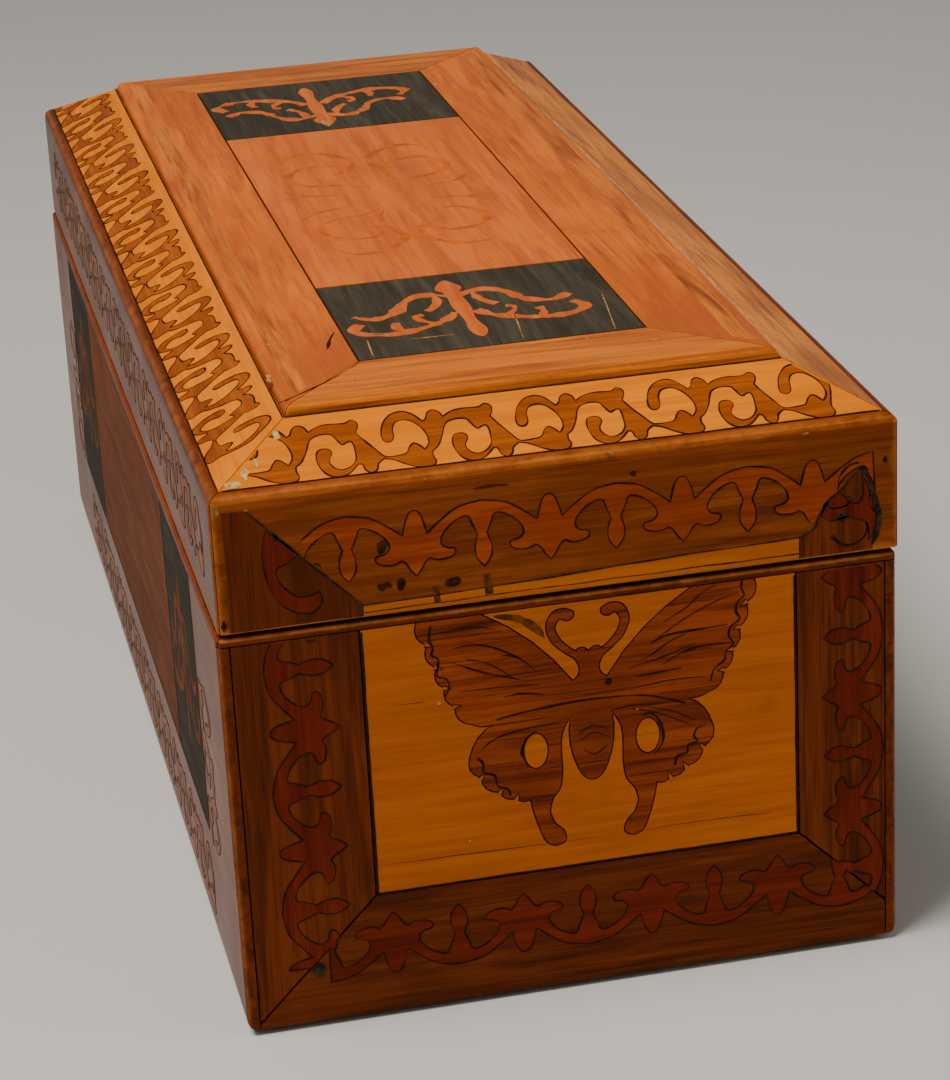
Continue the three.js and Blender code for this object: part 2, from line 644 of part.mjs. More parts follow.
function addHinge(prefix, middle) {
  const outerKnuckles = [[-HINGE_HALF, -KNUCKLE_HALF - RUN], [KNUCKLE_HALF + RUN, HINGE_HALF]];
  const middleGap = about(0, KNUCKLE_HALF + RUN);
  const outerGaps = [[-HINGE_HALF - OVER, -KNUCKLE_HALF], [KNUCKLE_HALF, HINGE_HALF + OVER]];
  const caseLeaf = hingeLeaf(middle, caseLeafZ(), outerKnuckles, [middleGap]);
  const lidLeaf = hingeLeaf(middle, lidLeafZ(), [about(0, KNUCKLE_HALF)], outerGaps);
  add(box, `${prefix}_hinge_case_leaf`, caseLeaf, BRASS);
  add(box, `${prefix}_hinge_lid_leaf`, lidLeaf, BRASS);
  add(box, `${prefix}_hinge_pin`, barAlongY(PIN_RADIUS, PIN_X, PIN_Z, about(middle, HINGE_HALF)), BRASS);
  screwPlaces(middle).forEach((y, i) => {
    const down = screw().translate(SCREW_X, y, caseLeafZ()[1]);
    const up = screw().rotateX(Math.PI).translate(SCREW_X, y, lidLeafZ()[0]);
    add(box, `${prefix}_hinge_case_screw_${i + 1}`, down, BRASS);
    add(box, `${prefix}_hinge_lid_screw_${i + 1}`, up, BRASS);
  });
}

// Lid

// The upright walls, with a rounded top edge and a ledge inside it for the top board.
function addLidWalls() {
  const outline = new THREE.Path();
  outline.moveTo(LID_WALL, LID_BOTTOM);
  outline.lineTo(0, LID_BOTTOM);
  outline.lineTo(0, BAND_TOP - EDGE_ROUND);
  outline.quadraticCurveTo(0, BAND_TOP + EDGE_RISE / 2, EDGE_INSET, BEVEL_FOOT);
  outline.lineTo(EDGE_INSET, LEDGE_Z);
  outline.lineTo(LID_WALL, LEDGE_Z);
  const strips = mitredFrame(outline.getPoints(4), GLUE);
  const plan = roundedPlan([LID_BOTTOM - OVER, BEVEL_FOOT + OVER]);
  const boltHole = boltBlock([LID_BOTTOM - OVER, BOLT_TOP + BOLT_TRAVEL + OVER], RUN);
  const leafBeds = [-1, 1].map((side) => leafBed(side, [LID_BOTTOM - OVER, lidLeafZ()[1] + GLUE]));
  const screwZ = [LID_BOTTOM - OVER, LID_BOTTOM + SCREW_LENGTH + OVER];
  const places = [-HINGE_Y, HINGE_Y].flatMap(screwPlaces);
  const holes = places.map((y) => uprightBar(SCREW_SHANK + PIN_CLEARANCE, SCREW_X, y, screwZ));
  const inLid = (cutter) => cutter.translate(-LID_SHIFT, 0, 0);
  add(lid, "lid_front_wall", cut(common(strips.front, plan), inLid(boltHole)), WALNUT);
  add(lid, "lid_back_wall", cut(common(strips.back, plan), ...[...leafBeds, ...holes].map(inLid)), WALNUT);
  add(lid, "lid_near_wall", common(strips.near, plan), WALNUT);
  add(lid, "lid_far_wall", common(strips.far, plan), WALNUT);
}

function bevelZ(inset) {
  return BEVEL_FOOT + BEVEL_SLOPE * (inset - EDGE_INSET);
}

function addBevels() {
  const foot = EDGE_INSET + GLUE;
  const outline = outlineOf([
    [foot, bevelZ(foot) - BEVEL_BOARD],
    [BEVEL_INSET, BEVEL_TOP - BEVEL_BOARD],
    [BEVEL_INSET, BEVEL_TOP],
    [foot, bevelZ(foot)],
  ]);
  const strips = mitredFrame(outline, GLUE);
  add(lid, "bevel_front", strips.front, MAPLE);
  add(lid, "bevel_back", strips.back, WALNUT);
  add(lid, "bevel_near", strips.near, MAPLE);
  add(lid, "bevel_far", strips.far, MAPLE);
}

// The board that closes the lid, hipped on all four sides under the bevels.
function addTopBoard() {
  const foot = EDGE_INSET + GLUE;
  const footZ = bevelZ(foot) - BEVEL_BOARD - GLUE;
  const flatZ = TOP_PANEL_Z - GLUE;
  const flatInset = foot + (flatZ - footZ) / BEVEL_SLOPE;
  const section = (half) =>
    outlineOf([
      [-half + foot, LEDGE_Z + GLUE],
      [half - foot, LEDGE_Z + GLUE],
      [half - foot, footZ],
      [half - flatInset, flatZ],
      [-half + flatInset, flatZ],
      [-half + foot, footZ],
    ]);
  const across = alongY(section(HALF_WIDTH), about(0, HALF_LENGTH));
  const along = alongY(section(HALF_LENGTH), about(0, HALF_WIDTH)).rotateZ(Math.PI / 2);
  add(lid, "top_board", common(across, along), CORE_WOOD);
}

// The field reaches further forwards than backwards, so the border's inner corners at the front move out.
function widenedField(strip) {
  const position = strip.attributes.position;
  const edge = BORDER_INSET - HALF_WIDTH;
  for (let i = 0; i < position.count; i += 1) {
    const x = position.getX(i);
    if (Math.abs(x - edge) < KERF) position.setX(i, x - FIELD_EXTRA);
  }
  return strip;
}

// The raised top: a mitred border with a rounded nosing, round two cartouches and the middle field.
function addTopPanel() {
  const outer = BEVEL_INSET + GLUE;
  const outline = new THREE.Path();
  outline.moveTo(outer, TOP_PANEL_Z);
  outline.lineTo(BORDER_INSET - KERF / 2, TOP_PANEL_Z);
  outline.lineTo(BORDER_INSET - KERF / 2, LID_TOP);
  outline.lineTo(STEP_INSET, LID_TOP);
  outline.quadraticCurveTo(outer, LID_TOP, outer, BEVEL_TOP);
  const strips = mitredFrame(outline.getPoints(4), GLUE);
  for (const [side, geometry] of Object.entries(strips)) {
    add(lid, `top_border_${side}`, widenedField(geometry), RED_WOOD);
  }
  const fieldEdge = HALF_WIDTH - BORDER_INSET - KERF / 2;
  const fieldX = [-fieldEdge - FIELD_EXTRA, fieldEdge];
  const fieldZ = [TOP_PANEL_Z, LID_TOP];
  const outerY = HALF_LENGTH - BORDER_INSET;
  const innerY = outerY - CARTOUCHE_LENGTH;
  const near = grown([-outerY, -innerY], -KERF / 2);
  const far = grown([innerY, outerY], -KERF / 2);
  add(lid, "cartouche_near", block(fieldX, near, fieldZ), EBONISED);
  add(lid, "cartouche_far", block(fieldX, far, fieldZ), EBONISED);
  add(lid, "centre_field", block(fieldX, about(0, innerY - KERF / 2), fieldZ), RED_WOOD);
}

addCarcase();
addFacings();
addRims();
addLock();
addFrontSlide();
addFalseBottom();
addDrawer();
addKey();
addHinge("near", -HINGE_Y);
addHinge("far", HINGE_Y);
addLidWalls();
addBevels();
addTopBoard();
addTopPanel();

export default box;
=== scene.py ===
"""Looks of the wooden puzzle box: varnished woods, hand-cut marquetry, wear and a plain pale studio.

Lengths in the drawings are millimetres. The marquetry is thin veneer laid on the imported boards, and
each motif is drawn once and repeated. A drawing's u runs to the right and its v runs up, as seen from
outside the face it lies on.
"""

import math
from functools import cache

import bmesh
import bpy
from mathutils import Matrix, Vector, noise


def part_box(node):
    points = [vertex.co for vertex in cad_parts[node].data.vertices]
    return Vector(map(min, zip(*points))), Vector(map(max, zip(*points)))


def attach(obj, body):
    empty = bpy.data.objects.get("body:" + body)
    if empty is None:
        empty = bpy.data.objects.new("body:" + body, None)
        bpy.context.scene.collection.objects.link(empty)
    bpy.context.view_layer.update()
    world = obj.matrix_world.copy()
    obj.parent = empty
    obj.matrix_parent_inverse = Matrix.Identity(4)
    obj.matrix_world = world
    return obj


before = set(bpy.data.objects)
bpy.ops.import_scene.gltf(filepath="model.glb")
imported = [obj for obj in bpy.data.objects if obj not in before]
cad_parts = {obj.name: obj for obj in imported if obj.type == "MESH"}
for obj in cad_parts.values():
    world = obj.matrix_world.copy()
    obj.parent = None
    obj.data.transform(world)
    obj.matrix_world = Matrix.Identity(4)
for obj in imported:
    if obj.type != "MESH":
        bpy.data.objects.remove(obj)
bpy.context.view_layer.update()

MM = 0.001

# Heights of the layers of marquetry above the board they lie on, and how far they sink into it.
SINK = 0.06
GROUND = 0.02
FILL = 0.045
OVERLAY = 0.06
KERF_TOP = 0.085
STAIN_TOP = 0.1

# Steps between two drawn points of a smooth curve, and the longest step along a straight line.
SMOOTH = 4
STRAIGHT_STEP = 2.0

# The waver of a hand-held fretsaw: how far it strays, how often, and how far apart two pieces' wavers are.
# Blender's noise vectors start from the clock, so they are seeded for every run to give the same shapes.
WAVER = 0.22
WAVER_SCALE = 0.11
WAVER_APART = 7.3
WAVER_SEED = 1
noise.seed_set(WAVER_SEED)

# The dark line left by the saw around every cut piece: half its width, the share by which that varies,
# how often and how far apart for two pieces, and the least share of it at a thinned-out end.
KERF = 0.15
KERF_SPREAD = 16 / 15
SPREAD_SCALE = 0.35
SPREAD_APART = 3.1
THIN_END = 0.12

# How far a blot's rim wanders, and how often, next to the blot's size.
BLOT_WAVER = 0.6
BLOT_SCALE = 0.8
OVAL_POINTS = 20


def linked(name, data):
    """A new object in the scene."""
    piece = bpy.data.objects.new(name, data)
    bpy.context.scene.collection.objects.link(piece)
    return piece


def low(node):
    """Lowest corner of a packed board, in millimetres."""
    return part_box(node)[0] / MM


def high(node):
    """Highest corner of a packed board, in millimetres."""
    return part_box(node)[1] / MM


def joint_box(*nodes):
    """(lowest corner, highest corner) of several packed boards together, in metres."""
    boxes = [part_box(node) for node in nodes]
    lowest = Vector(min(box[0][i] for box in boxes) for i in range(3))
    highest = Vector(max(box[1][i] for box in boxes) for i in range(3))
    return lowest, highest


# ---- drawing

class Face:
    """A flat face of the box: a point on it, its right-hand direction and its upward one."""

    def __init__(self, origin, right, up):
        self.origin = Vector(origin)
        self.right = Vector(right).normalized()
        self.up = Vector(up).normalized()
        self.out = self.right.cross(self.up)

    def at(self, point, height):
        """The place in the frame, in metres, of a drawn point raised above the face."""
        across = point[0] * self.right + point[1] * self.up
        return (self.origin + across + height * self.out) * MM


def curve(points, closed=False):
    """Points along a smooth curve that passes through the drawn ones."""
    count = len(points)
    spans = count if closed else count - 1
    path = []
    for i in range(spans):
        if closed:
            a, b, c, d = (Vector(points[(i + k) % count]) for k in (-1, 0, 1, 2))
        else:
            a, b, c, d = (Vector(points[min(max(i + k, 0), count - 1)]) for k in (-1, 0, 1, 2))
        for step in range(SMOOTH):
            t = step / SMOOTH
            bend = (c - a) * t + (2 * a - 5 * b + 4 * c - d) * t * t + (3 * b - a - 3 * c + d) * t ** 3
            path.append(b + bend / 2)
    if not closed:
        path.append(Vector(points[-1]))
    return path


def runs(*strokes):
    """One path out of smooth strokes that meet in sharp corners."""
    path = []
    for stroke in strokes:
        path.extend(curve(stroke)[:-1])
    path.append(Vector(strokes[-1][-1]))
    return path


def straight(points, step=STRAIGHT_STEP):
    """A straight-sided path with enough points on each side for the saw's waver to show."""
    path = []
    for start, end in zip(points, points[1:]):
        start, end = Vector(start), Vector(end)
        count = max(1, round((end - start).length / step))
        path.extend(start.lerp(end, i / count) for i in range(count))
    path.append(Vector(points[-1]))
    return path


def outline_of(corners):
    """A straight-sided closed outline."""
    return straight([*corners, corners[0]])[:-1]


def rectangle(left, bottom, right, top):
    return outline_of([(left, bottom), (right, bottom), (right, top), (left, top)])


def oval(centre, half_width, half_height, points=OVAL_POINTS):
    """A closed oval outline."""
    middle = Vector(centre)
    turns = (2 * math.pi * i / points for i in range(points))
    return [middle + Vector((half_width * math.cos(t), half_height * math.sin(t))) for t in turns]


def blots(veneer, face, height, spots):
    """Ragged spots, each given by its middle, its half width and its half height."""
    for across, up, half_width, half_height in spots:
        size = (half_width + half_height) / 2
        shape = oval((across, up), half_width, half_height)
        veneer.plate(face, shape, height, waver=BLOT_WAVER * size, scale=BLOT_SCALE / size)


def moved(path, place):
    """The path with each of its points put through place."""
    return [Vector(place(point[0], point[1])) for point in path]


def wavered(path, seed, amount=WAVER, scale=WAVER_SCALE):
    """The path as a hand would saw it."""
    shaken = []
    for point in path:
        push = noise.noise_vector(Vector((point[0] * scale, point[1] * scale, seed * WAVER_APART)))
        shaken.append(point + amount * Vector((push.x, push.y)))
    return shaken


class Veneer:
    """Collects plates and lines that lie on faces of the box into one piece."""

    def __init__(self, name, material, body, seed):
        self.name = name
        self.material = material
        self.body = body
        self.seed = seed
        self.mesh = bmesh.new()

    def plate(self, face, outline, height=FILL, waver=WAVER, scale=WAVER_SCALE):
        """A thin plate with the drawn outline."""
        outline = wavered(outline, self.seed, waver, scale)
        part = bmesh.new()
        top = [part.verts.new(face.at(point, height)) for point in outline]
        bottom = [part.verts.new(face.at(point, -SINK)) for point in outline]
        part.faces.new(top)
        part.faces.new(bottom[::-1])
        for i, corner in enumerate(top):
            part.faces.new((top[i - 1], bottom[i - 1], bottom[i], corner))
        bmesh.ops.recalc_face_normals(part, faces=part.faces)
        bmesh.ops.triangulate(part, faces=[f for f in part.faces if len(f.verts) > 4])
        self.take(part)

    def half_width_at(self, point, half_width, waver):
        """Half the width of a line at one of its points: it varies as much as the line wavers."""
        where = Vector((point.x * SPREAD_SCALE, point.y * SPREAD_SCALE, self.seed * SPREAD_APART))
        return half_width * (1 + noise.noise(where) * KERF_SPREAD * min(1, waver / WAVER))

    def line(self, face, path, half_width=KERF, height=KERF_TOP, closed=False, taper=False, waver=WAVER):
        """A thin strip along the drawn path. It varies in width, and it can thin out to its ends."""
        path = wavered(path, self.seed, waver)
        count = len(path)
        part = bmesh.new()
        stations = []
        for i, point in enumerate(path):
            before = path[i - 1] if closed or i > 0 else point
            after = path[(i + 1) % count] if closed or i < count - 1 else point
            along = (after - before).normalized()
            half = self.half_width_at(point, half_width, waver)
            if taper:
                half *= max(THIN_END, math.sin(math.pi * (i + 0.5) / count))
            side = half * Vector((-along.y, along.x))
            corners = ((side, height), (-side, height), (-side, -SINK), (side, -SINK))
            stations.append([part.verts.new(face.at(point + offset, level)) for offset, level in corners])
        for i in range(count if closed else count - 1):
            here, there = stations[i], stations[(i + 1) % count]
            for k in range(4):
                part.faces.new((here[k], here[k - 3], there[k - 3], there[k]))
        if not closed:
            part.faces.new(stations[0][::-1])
            part.faces.new(stations[-1])
        bmesh.ops.recalc_face_normals(part, faces=part.faces)
        self.take(part)

    def trim(self, face, start, end):
        """Removes what lies to the left of the drawn line from start to end."""
        start, end = Vector(start), Vector(end)
        along = (end - start).normalized()
        away = along.x * face.up - along.y * face.right
        geometry = [*self.mesh.verts, *self.mesh.edges, *self.mesh.faces]
        cut = bmesh.ops.bisect_plane(
            self.mesh, geom=geometry, plane_co=face.at(start, 0), plane_no=away, clear_outer=True
        )
        rim = [e for e in cut["geom_cut"] if isinstance(e, bmesh.types.BMEdge)]
        bmesh.ops.holes_fill(self.mesh, edges=rim, sides=0)

    def take(self, part):
        """Adds a finished plate or line to the piece."""
        data = bpy.data.meshes.new(self.name + "_part")
        part.to_mesh(data)
        part.free()
        self.mesh.from_mesh(data)
        bpy.data.meshes.remove(data)

    def finish(self):
        """Turns what was collected into a piece that rides on its body."""
        data = bpy.data.meshes.new(self.name)
        bmesh.ops.recalc_face_normals(self.mesh, faces=self.mesh.faces)
        self.mesh.to_mesh(data)
        self.mesh.free()
        data.materials.append(self.material)
        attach(linked(self.name, data), self.body)


def marks(name, material, body, seed, face, height, strokes=(), spots=()):
    """A piece made of strokes that thin out to their ends and of ragged spots."""
    piece = Veneer(name, material, body, seed)
    for half_width, points in strokes:
        piece.line(face, curve(points), half_width, height, taper=True)
    blots(piece, face, height, spots)
    piece.finish()


# ---- materials

# The polish is rubbed thin from this far in from an edge to that far, as shares of the worn width.
RUB_START, RUB_END = 0.4, 1.2


class Graph:
    """One material's node tree, with short calls for the nodes that the finishes use."""

    def __init__(self, name):
        self.material = bpy.data.materials.new(name)
        self.material.use_nodes = True
        self.tree = self.material.node_tree
        self.shader = self.tree.nodes["Principled BSDF"]
        self.place = self.add("ShaderNodeTexCoord").outputs["Object"]

    def add(self, kind, inputs=(), **settings):
        made = self.tree.nodes.new(kind)
        for key, value in settings.items():
            setattr(made, key, value)
        for key, value in dict(inputs).items():
            self.feed(made.inputs[key], value)
        return made

    def feed(self, socket, value):
        if isinstance(value, bpy.types.NodeSocket):
            self.tree.links.new(value, socket)
        else:
            socket.default_value = value

    def math(self, operation, a, b):
        return self.add("ShaderNodeMath", {0: a, 1: b}, operation=operation).outputs[0]

    def vector_math(self, operation, a, b=(0, 0, 0)):
        return self.add("ShaderNodeVectorMath", {0: a, 1: b}, operation=operation).outputs[0]

    def span(self, value, low_end, high_end, to_low=0.0, to_high=1.0):
        """Value stretched from one range to another, with soft ends."""
        inputs = {"Value": value, "From Min": low_end, "From Max": high_end}
        inputs |= {"To Min": to_low, "To Max": to_high}
        return self.add("ShaderNodeMapRange", inputs, interpolation_type="SMOOTHSTEP").outputs[0]

    def stretched(self, scale, shift):
        """The object's own coordinates, scaled along each axis."""
        inputs = {"Vector": self.place, "Scale": scale, "Location": shift}
        return self.add("ShaderNodeMapping", inputs).outputs[0]

    def noise(self, where, scale, detail=3.0, roughness=0.55, distortion=0.0):
        inputs = {"Vector": where, "Scale": scale, "Detail": detail, "Roughness": roughness}
        return self.add("ShaderNodeTexNoise", inputs | {"Distortion": distortion}).outputs["Fac"]

    def mix(self, share, a, b, blend="MIX"):
        made = self.add("ShaderNodeMix", data_type="RGBA", blend_type=blend)
        colours = [socket for socket in made.inputs if socket.type == "RGBA"]
        self.feed(made.inputs[0], share)
        self.feed(colours[0], a)
        self.feed(colours[1], b)
        return next(socket for socket in made.outputs if socket.type == "RGBA")

    def ramp(self, value, stops):
        """A colour for each value: stops are (value, colour) pairs."""
        made = self.add("ShaderNodeValToRGB", {"Fac": value})
        elements = made.color_ramp.elements
        while len(elements) < len(stops):
            elements.new(0.5)
        for element, (position, colour) in zip(elements, stops):
            element.position = position
            element.color = (*colour, 1.0)
        return made.outputs["Color"]

    def arris(self, box, width, noise_value):
        """1 on the long edges of a box and 0 a width away from them, broken up by noise."""
        centre = (box[0] + box[1]) / 2
        half = (box[1] - box[0]) / 2
        offset = self.vector_math("ABSOLUTE", self.vector_math("SUBTRACT", self.place, centre))
        inset = self.add("ShaderNodeSeparateXYZ", {0: self.vector_math("SUBTRACT", half, offset)}).outputs
        lesser = self.math("MINIMUM", inset[0], inset[1])
        greater = self.math("MAXIMUM", inset[0], inset[1])
        middle = self.math("MAXIMUM", lesser, self.math("MINIMUM", greater, inset[2]))
        ragged = self.math("ADD", middle, self.math("MULTIPLY", noise_value, width))
        return self.span(ragged, width * RUB_START, width * RUB_END, 1.0, 0.0)

    def finish(self, colour, roughness, height, strength, depth):
        """Joins the colour, the roughness and a bump to the shader, and gives the finished material."""
        bump = self.add("ShaderNodeBump", {"Height": height, "Strength": strength, "Distance": depth})
        self.feed(self.shader.inputs["Base Color"], colour)
        self.feed(self.shader.inputs["Roughness"], roughness)
        self.feed(self.shader.inputs["Normal"], bump.outputs["Normal"])
        return self.material


# Each wood: its dark, middle and light tones, how strongly its pores and its figure show, its roughness.
WOODS = {
    "walnut": (((0.056, 0.01, 0.001), (0.108, 0.0192, 0.002), (0.175, 0.0345, 0.0038)), 0.7, 0.7, 0.3),
    "lid walnut": (((0.13, 0.025, 0.0022), (0.205, 0.044, 0.0042), (0.3, 0.076, 0.008)), 0.6, 0.6, 0.3),
    "lid inlay": (((0.195, 0.027, 0.002), (0.3, 0.045, 0.0032), (0.4, 0.074, 0.0062)), 0.3, 0.5, 0.34),
    "bevel walnut": (((0.2, 0.042, 0.002), (0.48, 0.128, 0.0036), (0.78, 0.235, 0.007)), 0.6, 1.0, 0.28),
    "butterfly walnut": (((0.102, 0.0165, 0.0016), (0.218, 0.033, 0.0026), (0.33, 0.06, 0.005)), 1.0, 0.7,
                         0.34),
    "maple": (((0.385, 0.086, 0.0042), (0.455, 0.11, 0.0056), (0.52, 0.136, 0.008)), 0.15, 0.4, 0.3),
    "bevel maple": (((0.5, 0.13, 0.0004), (0.61, 0.17, 0.0007), (0.7, 0.208, 0.0012)), 0.15, 0.4, 0.28),
    "red inlay": (((0.076, 0.0068, 0.0008), (0.13, 0.012, 0.0012), (0.185, 0.02, 0.002)), 0.3, 0.5, 0.34),
    "scroll brown": (((0.17, 0.034, 0.0025), (0.28, 0.06, 0.0035), (0.38, 0.09, 0.006)), 0.4, 0.5, 0.32),
    "tan inlay": (((0.14, 0.04, 0.006), (0.21, 0.065, 0.01), (0.29, 0.1, 0.018)), 0.3, 0.5, 0.38),
    "top red": (((0.33, 0.062, 0.0022), (0.5, 0.105, 0.0034), (0.64, 0.15, 0.0055)), 0.25, 0.7, 0.36),
    "side red": (((0.08, 0.02, 0.006), (0.13, 0.035, 0.01), (0.18, 0.055, 0.017)), 0.3, 0.6, 0.65),
    "side black": (((0.02, 0.0165, 0.011), (0.034, 0.0285, 0.019), (0.056, 0.048, 0.032)), 0.2, 0.3, 0.7),
    "top field": (((0.38, 0.073, 0.005), (0.505, 0.105, 0.0078), (0.6, 0.142, 0.012)), 0.2, 0.6, 0.36),
    "border amber": (((0.195, 0.036, 0.0012), (0.39, 0.089, 0.0025), (0.6, 0.16, 0.0045)), 0.5, 0.9, 0.28),
    "arabesque": (((0.36, 0.061, 0.0055), (0.49, 0.1, 0.0085), (0.6, 0.15, 0.015)), 0.1, 0.4, 0.4),
    "ebonised": (((0.024, 0.019, 0.012), (0.04, 0.0325, 0.0205), (0.065, 0.054, 0.034)), 0.2, 0.3, 0.36),
    "red stained": (((0.05, 0.005, 0.001), (0.1, 0.011, 0.0018), (0.16, 0.021, 0.003)), 0.3, 0.5, 0.34),
    "core": (((0.25, 0.115, 0.03), (0.36, 0.185, 0.055), (0.45, 0.25, 0.09)), 0.3, 0.7, 0.55),
    "dark core": (((0.035, 0.015, 0.006), (0.07, 0.03, 0.01), (0.11, 0.05, 0.017)), 0.5, 0.7, 0.6),
}
BARE_WOODS = ("core", "dark core")
# The lid's top is polished by hands and cloths. The ends are worn, and the long sides are duller still.
POLISHED = ("border amber", "top red", "top field", "bevel walnut", "arabesque")
DULL = ("side red", "side black", "tan inlay", "maple", "bevel maple")
POLISHED_SHINE, WORN_SHINE, DULL_SHINE, PASTE_SHINE = 0.18, 0.06, 0.035, 0.08
COAT_SHARE = 0.4
AXES = {"x": 0, "y": 1, "z": 2}

# Grain runs this many times further along the board than across it, and fibres and scratches further still.
GRAIN_STRETCH = 14.0
FIBRE_STRETCH = 40.0
SCRATCH_STRETCH = (1.0, 0.12, 0.35)
PATINA_STRETCH = (1.0, 0.6, 1.0)

# How fine each pattern is, in waves per metre across the grain.
BANDS, RINGS, FIBRES, PORES = 170.0, 520.0, 2400.0, 1500.0
CLOUDS, GRIME, PATINA, RUBS, SCRATCHES = 26.0, 70.0, 22.0, 240.0, 900.0

# How far dirt and old polish darken a board at most, and what bare rubbed wood looks like.
GRIME_SHARE = 0.35
PATINA_SHARE = 0.6
RUBBED = (0.56, 0.20, 0.050)
WORN_REACH, LID_WORN_REACH = 0.0016, 0.0032
GRAIN_DEPTH, BRUSHED_DEPTH, CRUMB_DEPTH = 0.00012, 0.00005, 0.0001
COAT_ROUGHNESS = 0.14

# Painted shade darkens the top's long borders towards the near end: where that ends along the box, in
# metres.
SHADED_NEAR_END = ("top red",)
NEAR_END_SHADE_SPAN = (-0.115, -0.065)
NEAR_END_SHADE_RAGGED = 0.03
NEAR_END_SHADE_SHARE = 0.75


def along_grain(grain, stretch):
    """The scale of a texture that is drawn out along the grain."""
    return [1 / stretch if i == AXES[grain] else 1.0 for i in range(3)]


def darker(tone, share):
    """A tone with this share of its brightness, as a colour."""
    return (*(t * share for t in tone), 1.0)


def aged(graph, colour, kind, clouds, seed):
    """The colour of the wood under grime and old polish, with painted shade on the top's long borders
    towards the near end.
    """
    dark = WOODS[kind][0][0]
    figure = WOODS[kind][2]
    grime = graph.span(graph.noise(graph.place, GRIME, 5.0, 0.65), 0.56, 0.78, 0.0, GRIME_SHARE)
    colour = graph.mix(grime, colour, darker(dark, 0.6))
    patina = graph.noise(graph.stretched(PATINA_STRETCH, (seed, seed, 0)), PATINA, 3.0, 0.6)
    darkened = graph.span(patina, 0.46, 0.74, 0.0, PATINA_SHARE * figure)
    colour = graph.mix(darkened, colour, darker(dark, 0.8))
    # Painted shade: the top's long borders grow darker towards the near end of the box.
    if kind in SHADED_NEAR_END:
        along = graph.add("ShaderNodeSeparateXYZ", {0: graph.place}).outputs[1]
        ragged = graph.math("ADD", along, graph.math("MULTIPLY", clouds, NEAR_END_SHADE_RAGGED))
        near_end_shade = graph.span(ragged, *NEAR_END_SHADE_SPAN, NEAR_END_SHADE_SHARE, 0.0)
        colour = graph.mix(near_end_shade, colour, darker(dark, 1.0))
    return colour


def wood(name, kind, grain, seed, worn_box=None, wear=0.0, reach=WORN_REACH):
    """Varnished wood with rings, fibres, pores, a wandering tone, and worn edges where there is a box."""
    (dark, middle, light), pores, figure, roughness = WOODS[kind]
    graph = Graph(name)
    shift = (seed * 0.173, seed * 0.291, seed * 0.117)
    board = graph.stretched(along_grain(grain, GRAIN_STRETCH), shift)
    threads = graph.stretched(along_grain(grain, FIBRE_STRETCH), shift)
    bands = graph.noise(board, BANDS, 4.0, 0.6, 1.2)
    rings = graph.noise(board, RINGS, 3.0, 0.6, 0.6)
    fibre = graph.noise(threads, FIBRES, 2.0, 0.6)
    clouds = graph.noise(graph.place, CLOUDS + seed % 5, 3.0, 0.5)
    pore = graph.span(graph.noise(threads, PORES, 1.0, 0.5), 0.60, 0.70)
    fine = graph.math("ADD", graph.math("MULTIPLY", rings, 0.45), graph.math("MULTIPLY", fibre, 0.25))
    streaks = graph.math("ADD", graph.math("MULTIPLY", bands, 0.55 + 0.3 * figure), fine)

    tone = graph.span(streaks, 0.50, 0.92)
    colour = graph.ramp(tone, [(0.08, dark), (0.5, middle), (0.95, light)])
    colour = graph.mix(graph.span(clouds, 0.3, 0.75, 0.0, 0.5), colour, darker(middle, 1.0))
    colour = graph.mix(graph.math("MULTIPLY", pore, pores * 0.6), colour, darker(dark, 0.28))
    colour = aged(graph, colour, kind, clouds, seed)
    rough = graph.math("ADD", graph.math("MULTIPLY", clouds, 0.22), roughness - 0.08)
    if worn_box:
        rub = graph.arris(worn_box, reach, graph.noise(graph.place, RUBS, 4.0, 0.7))
        bare = [0.6 * t + 0.4 * c for t, c in zip(light, RUBBED)]
        colour = graph.mix(graph.math("MULTIPLY", rub, wear), colour, (*bare, 1.0))
        rough = graph.math("ADD", rough, graph.math("MULTIPLY", rub, 0.15 * wear))
    scratch = graph.noise(graph.stretched(SCRATCH_STRETCH, (seed, 0, 0)), SCRATCHES, 2.0, 0.7, 2.0)
    rough = graph.math("ADD", rough, graph.span(scratch, 0.66, 0.75, 0.0, 0.2))
    pits = graph.math("MULTIPLY", pore, pores)
    height = graph.math("SUBTRACT", graph.math("MULTIPLY", streaks, 0.6), pits)

    shine = POLISHED_SHINE if kind in POLISHED else DULL_SHINE if kind in DULL else WORN_SHINE
    graph.shader.inputs["Specular IOR Level"].default_value = shine
    graph.shader.inputs["Coat Weight"].default_value = 0.0 if kind in BARE_WOODS else COAT_SHARE * shine
    graph.shader.inputs["Coat Roughness"].default_value = COAT_ROUGHNESS
    return graph.finish(colour, rough, height, 0.35, GRAIN_DEPTH)


def metal(name, clean, tarnish, seed, roughness=0.32):
    """Old metal: a brushed sheen and tarnish in patches."""
    graph = Graph(name)
    patches = graph.span(graph.noise(graph.place, 160.0 + seed, 4.0, 0.6), 0.4, 0.68)
    brushed = graph.noise(graph.stretched((1.0, 0.08, 1.0), (seed, 0, 0)), 3000.0, 2.0)
    colour = graph.mix(patches, (*clean, 1.0), (*tarnish, 1.0))
    rough = graph.math("ADD", graph.math("MULTIPLY", patches, 0.25), roughness)
    graph.shader.inputs["Metallic"].default_value = 1.0
    return graph.finish(colour, rough, brushed, 0.2, BRUSHED_DEPTH)


def paste(name, dark, light, scale, roughness=0.6):
    """Filler, dirt, old glue or bare chips: a crumbly tone between two colours."""
    graph = Graph(name)
    crumbs = graph.noise(graph.place, scale, 5.0, 0.7)
    colour = graph.mix(graph.span(crumbs, 0.38, 0.64), (*dark, 1.0), (*light, 1.0))
    rough = graph.span(crumbs, 0.0, 1.0, roughness - 0.15, roughness + 0.15)
    graph.shader.inputs["Specular IOR Level"].default_value = PASTE_SHINE
    return graph.finish(colour, rough, crumbs, 0.4, CRUMB_DEPTH)


# Finishes that many pieces share are made once.

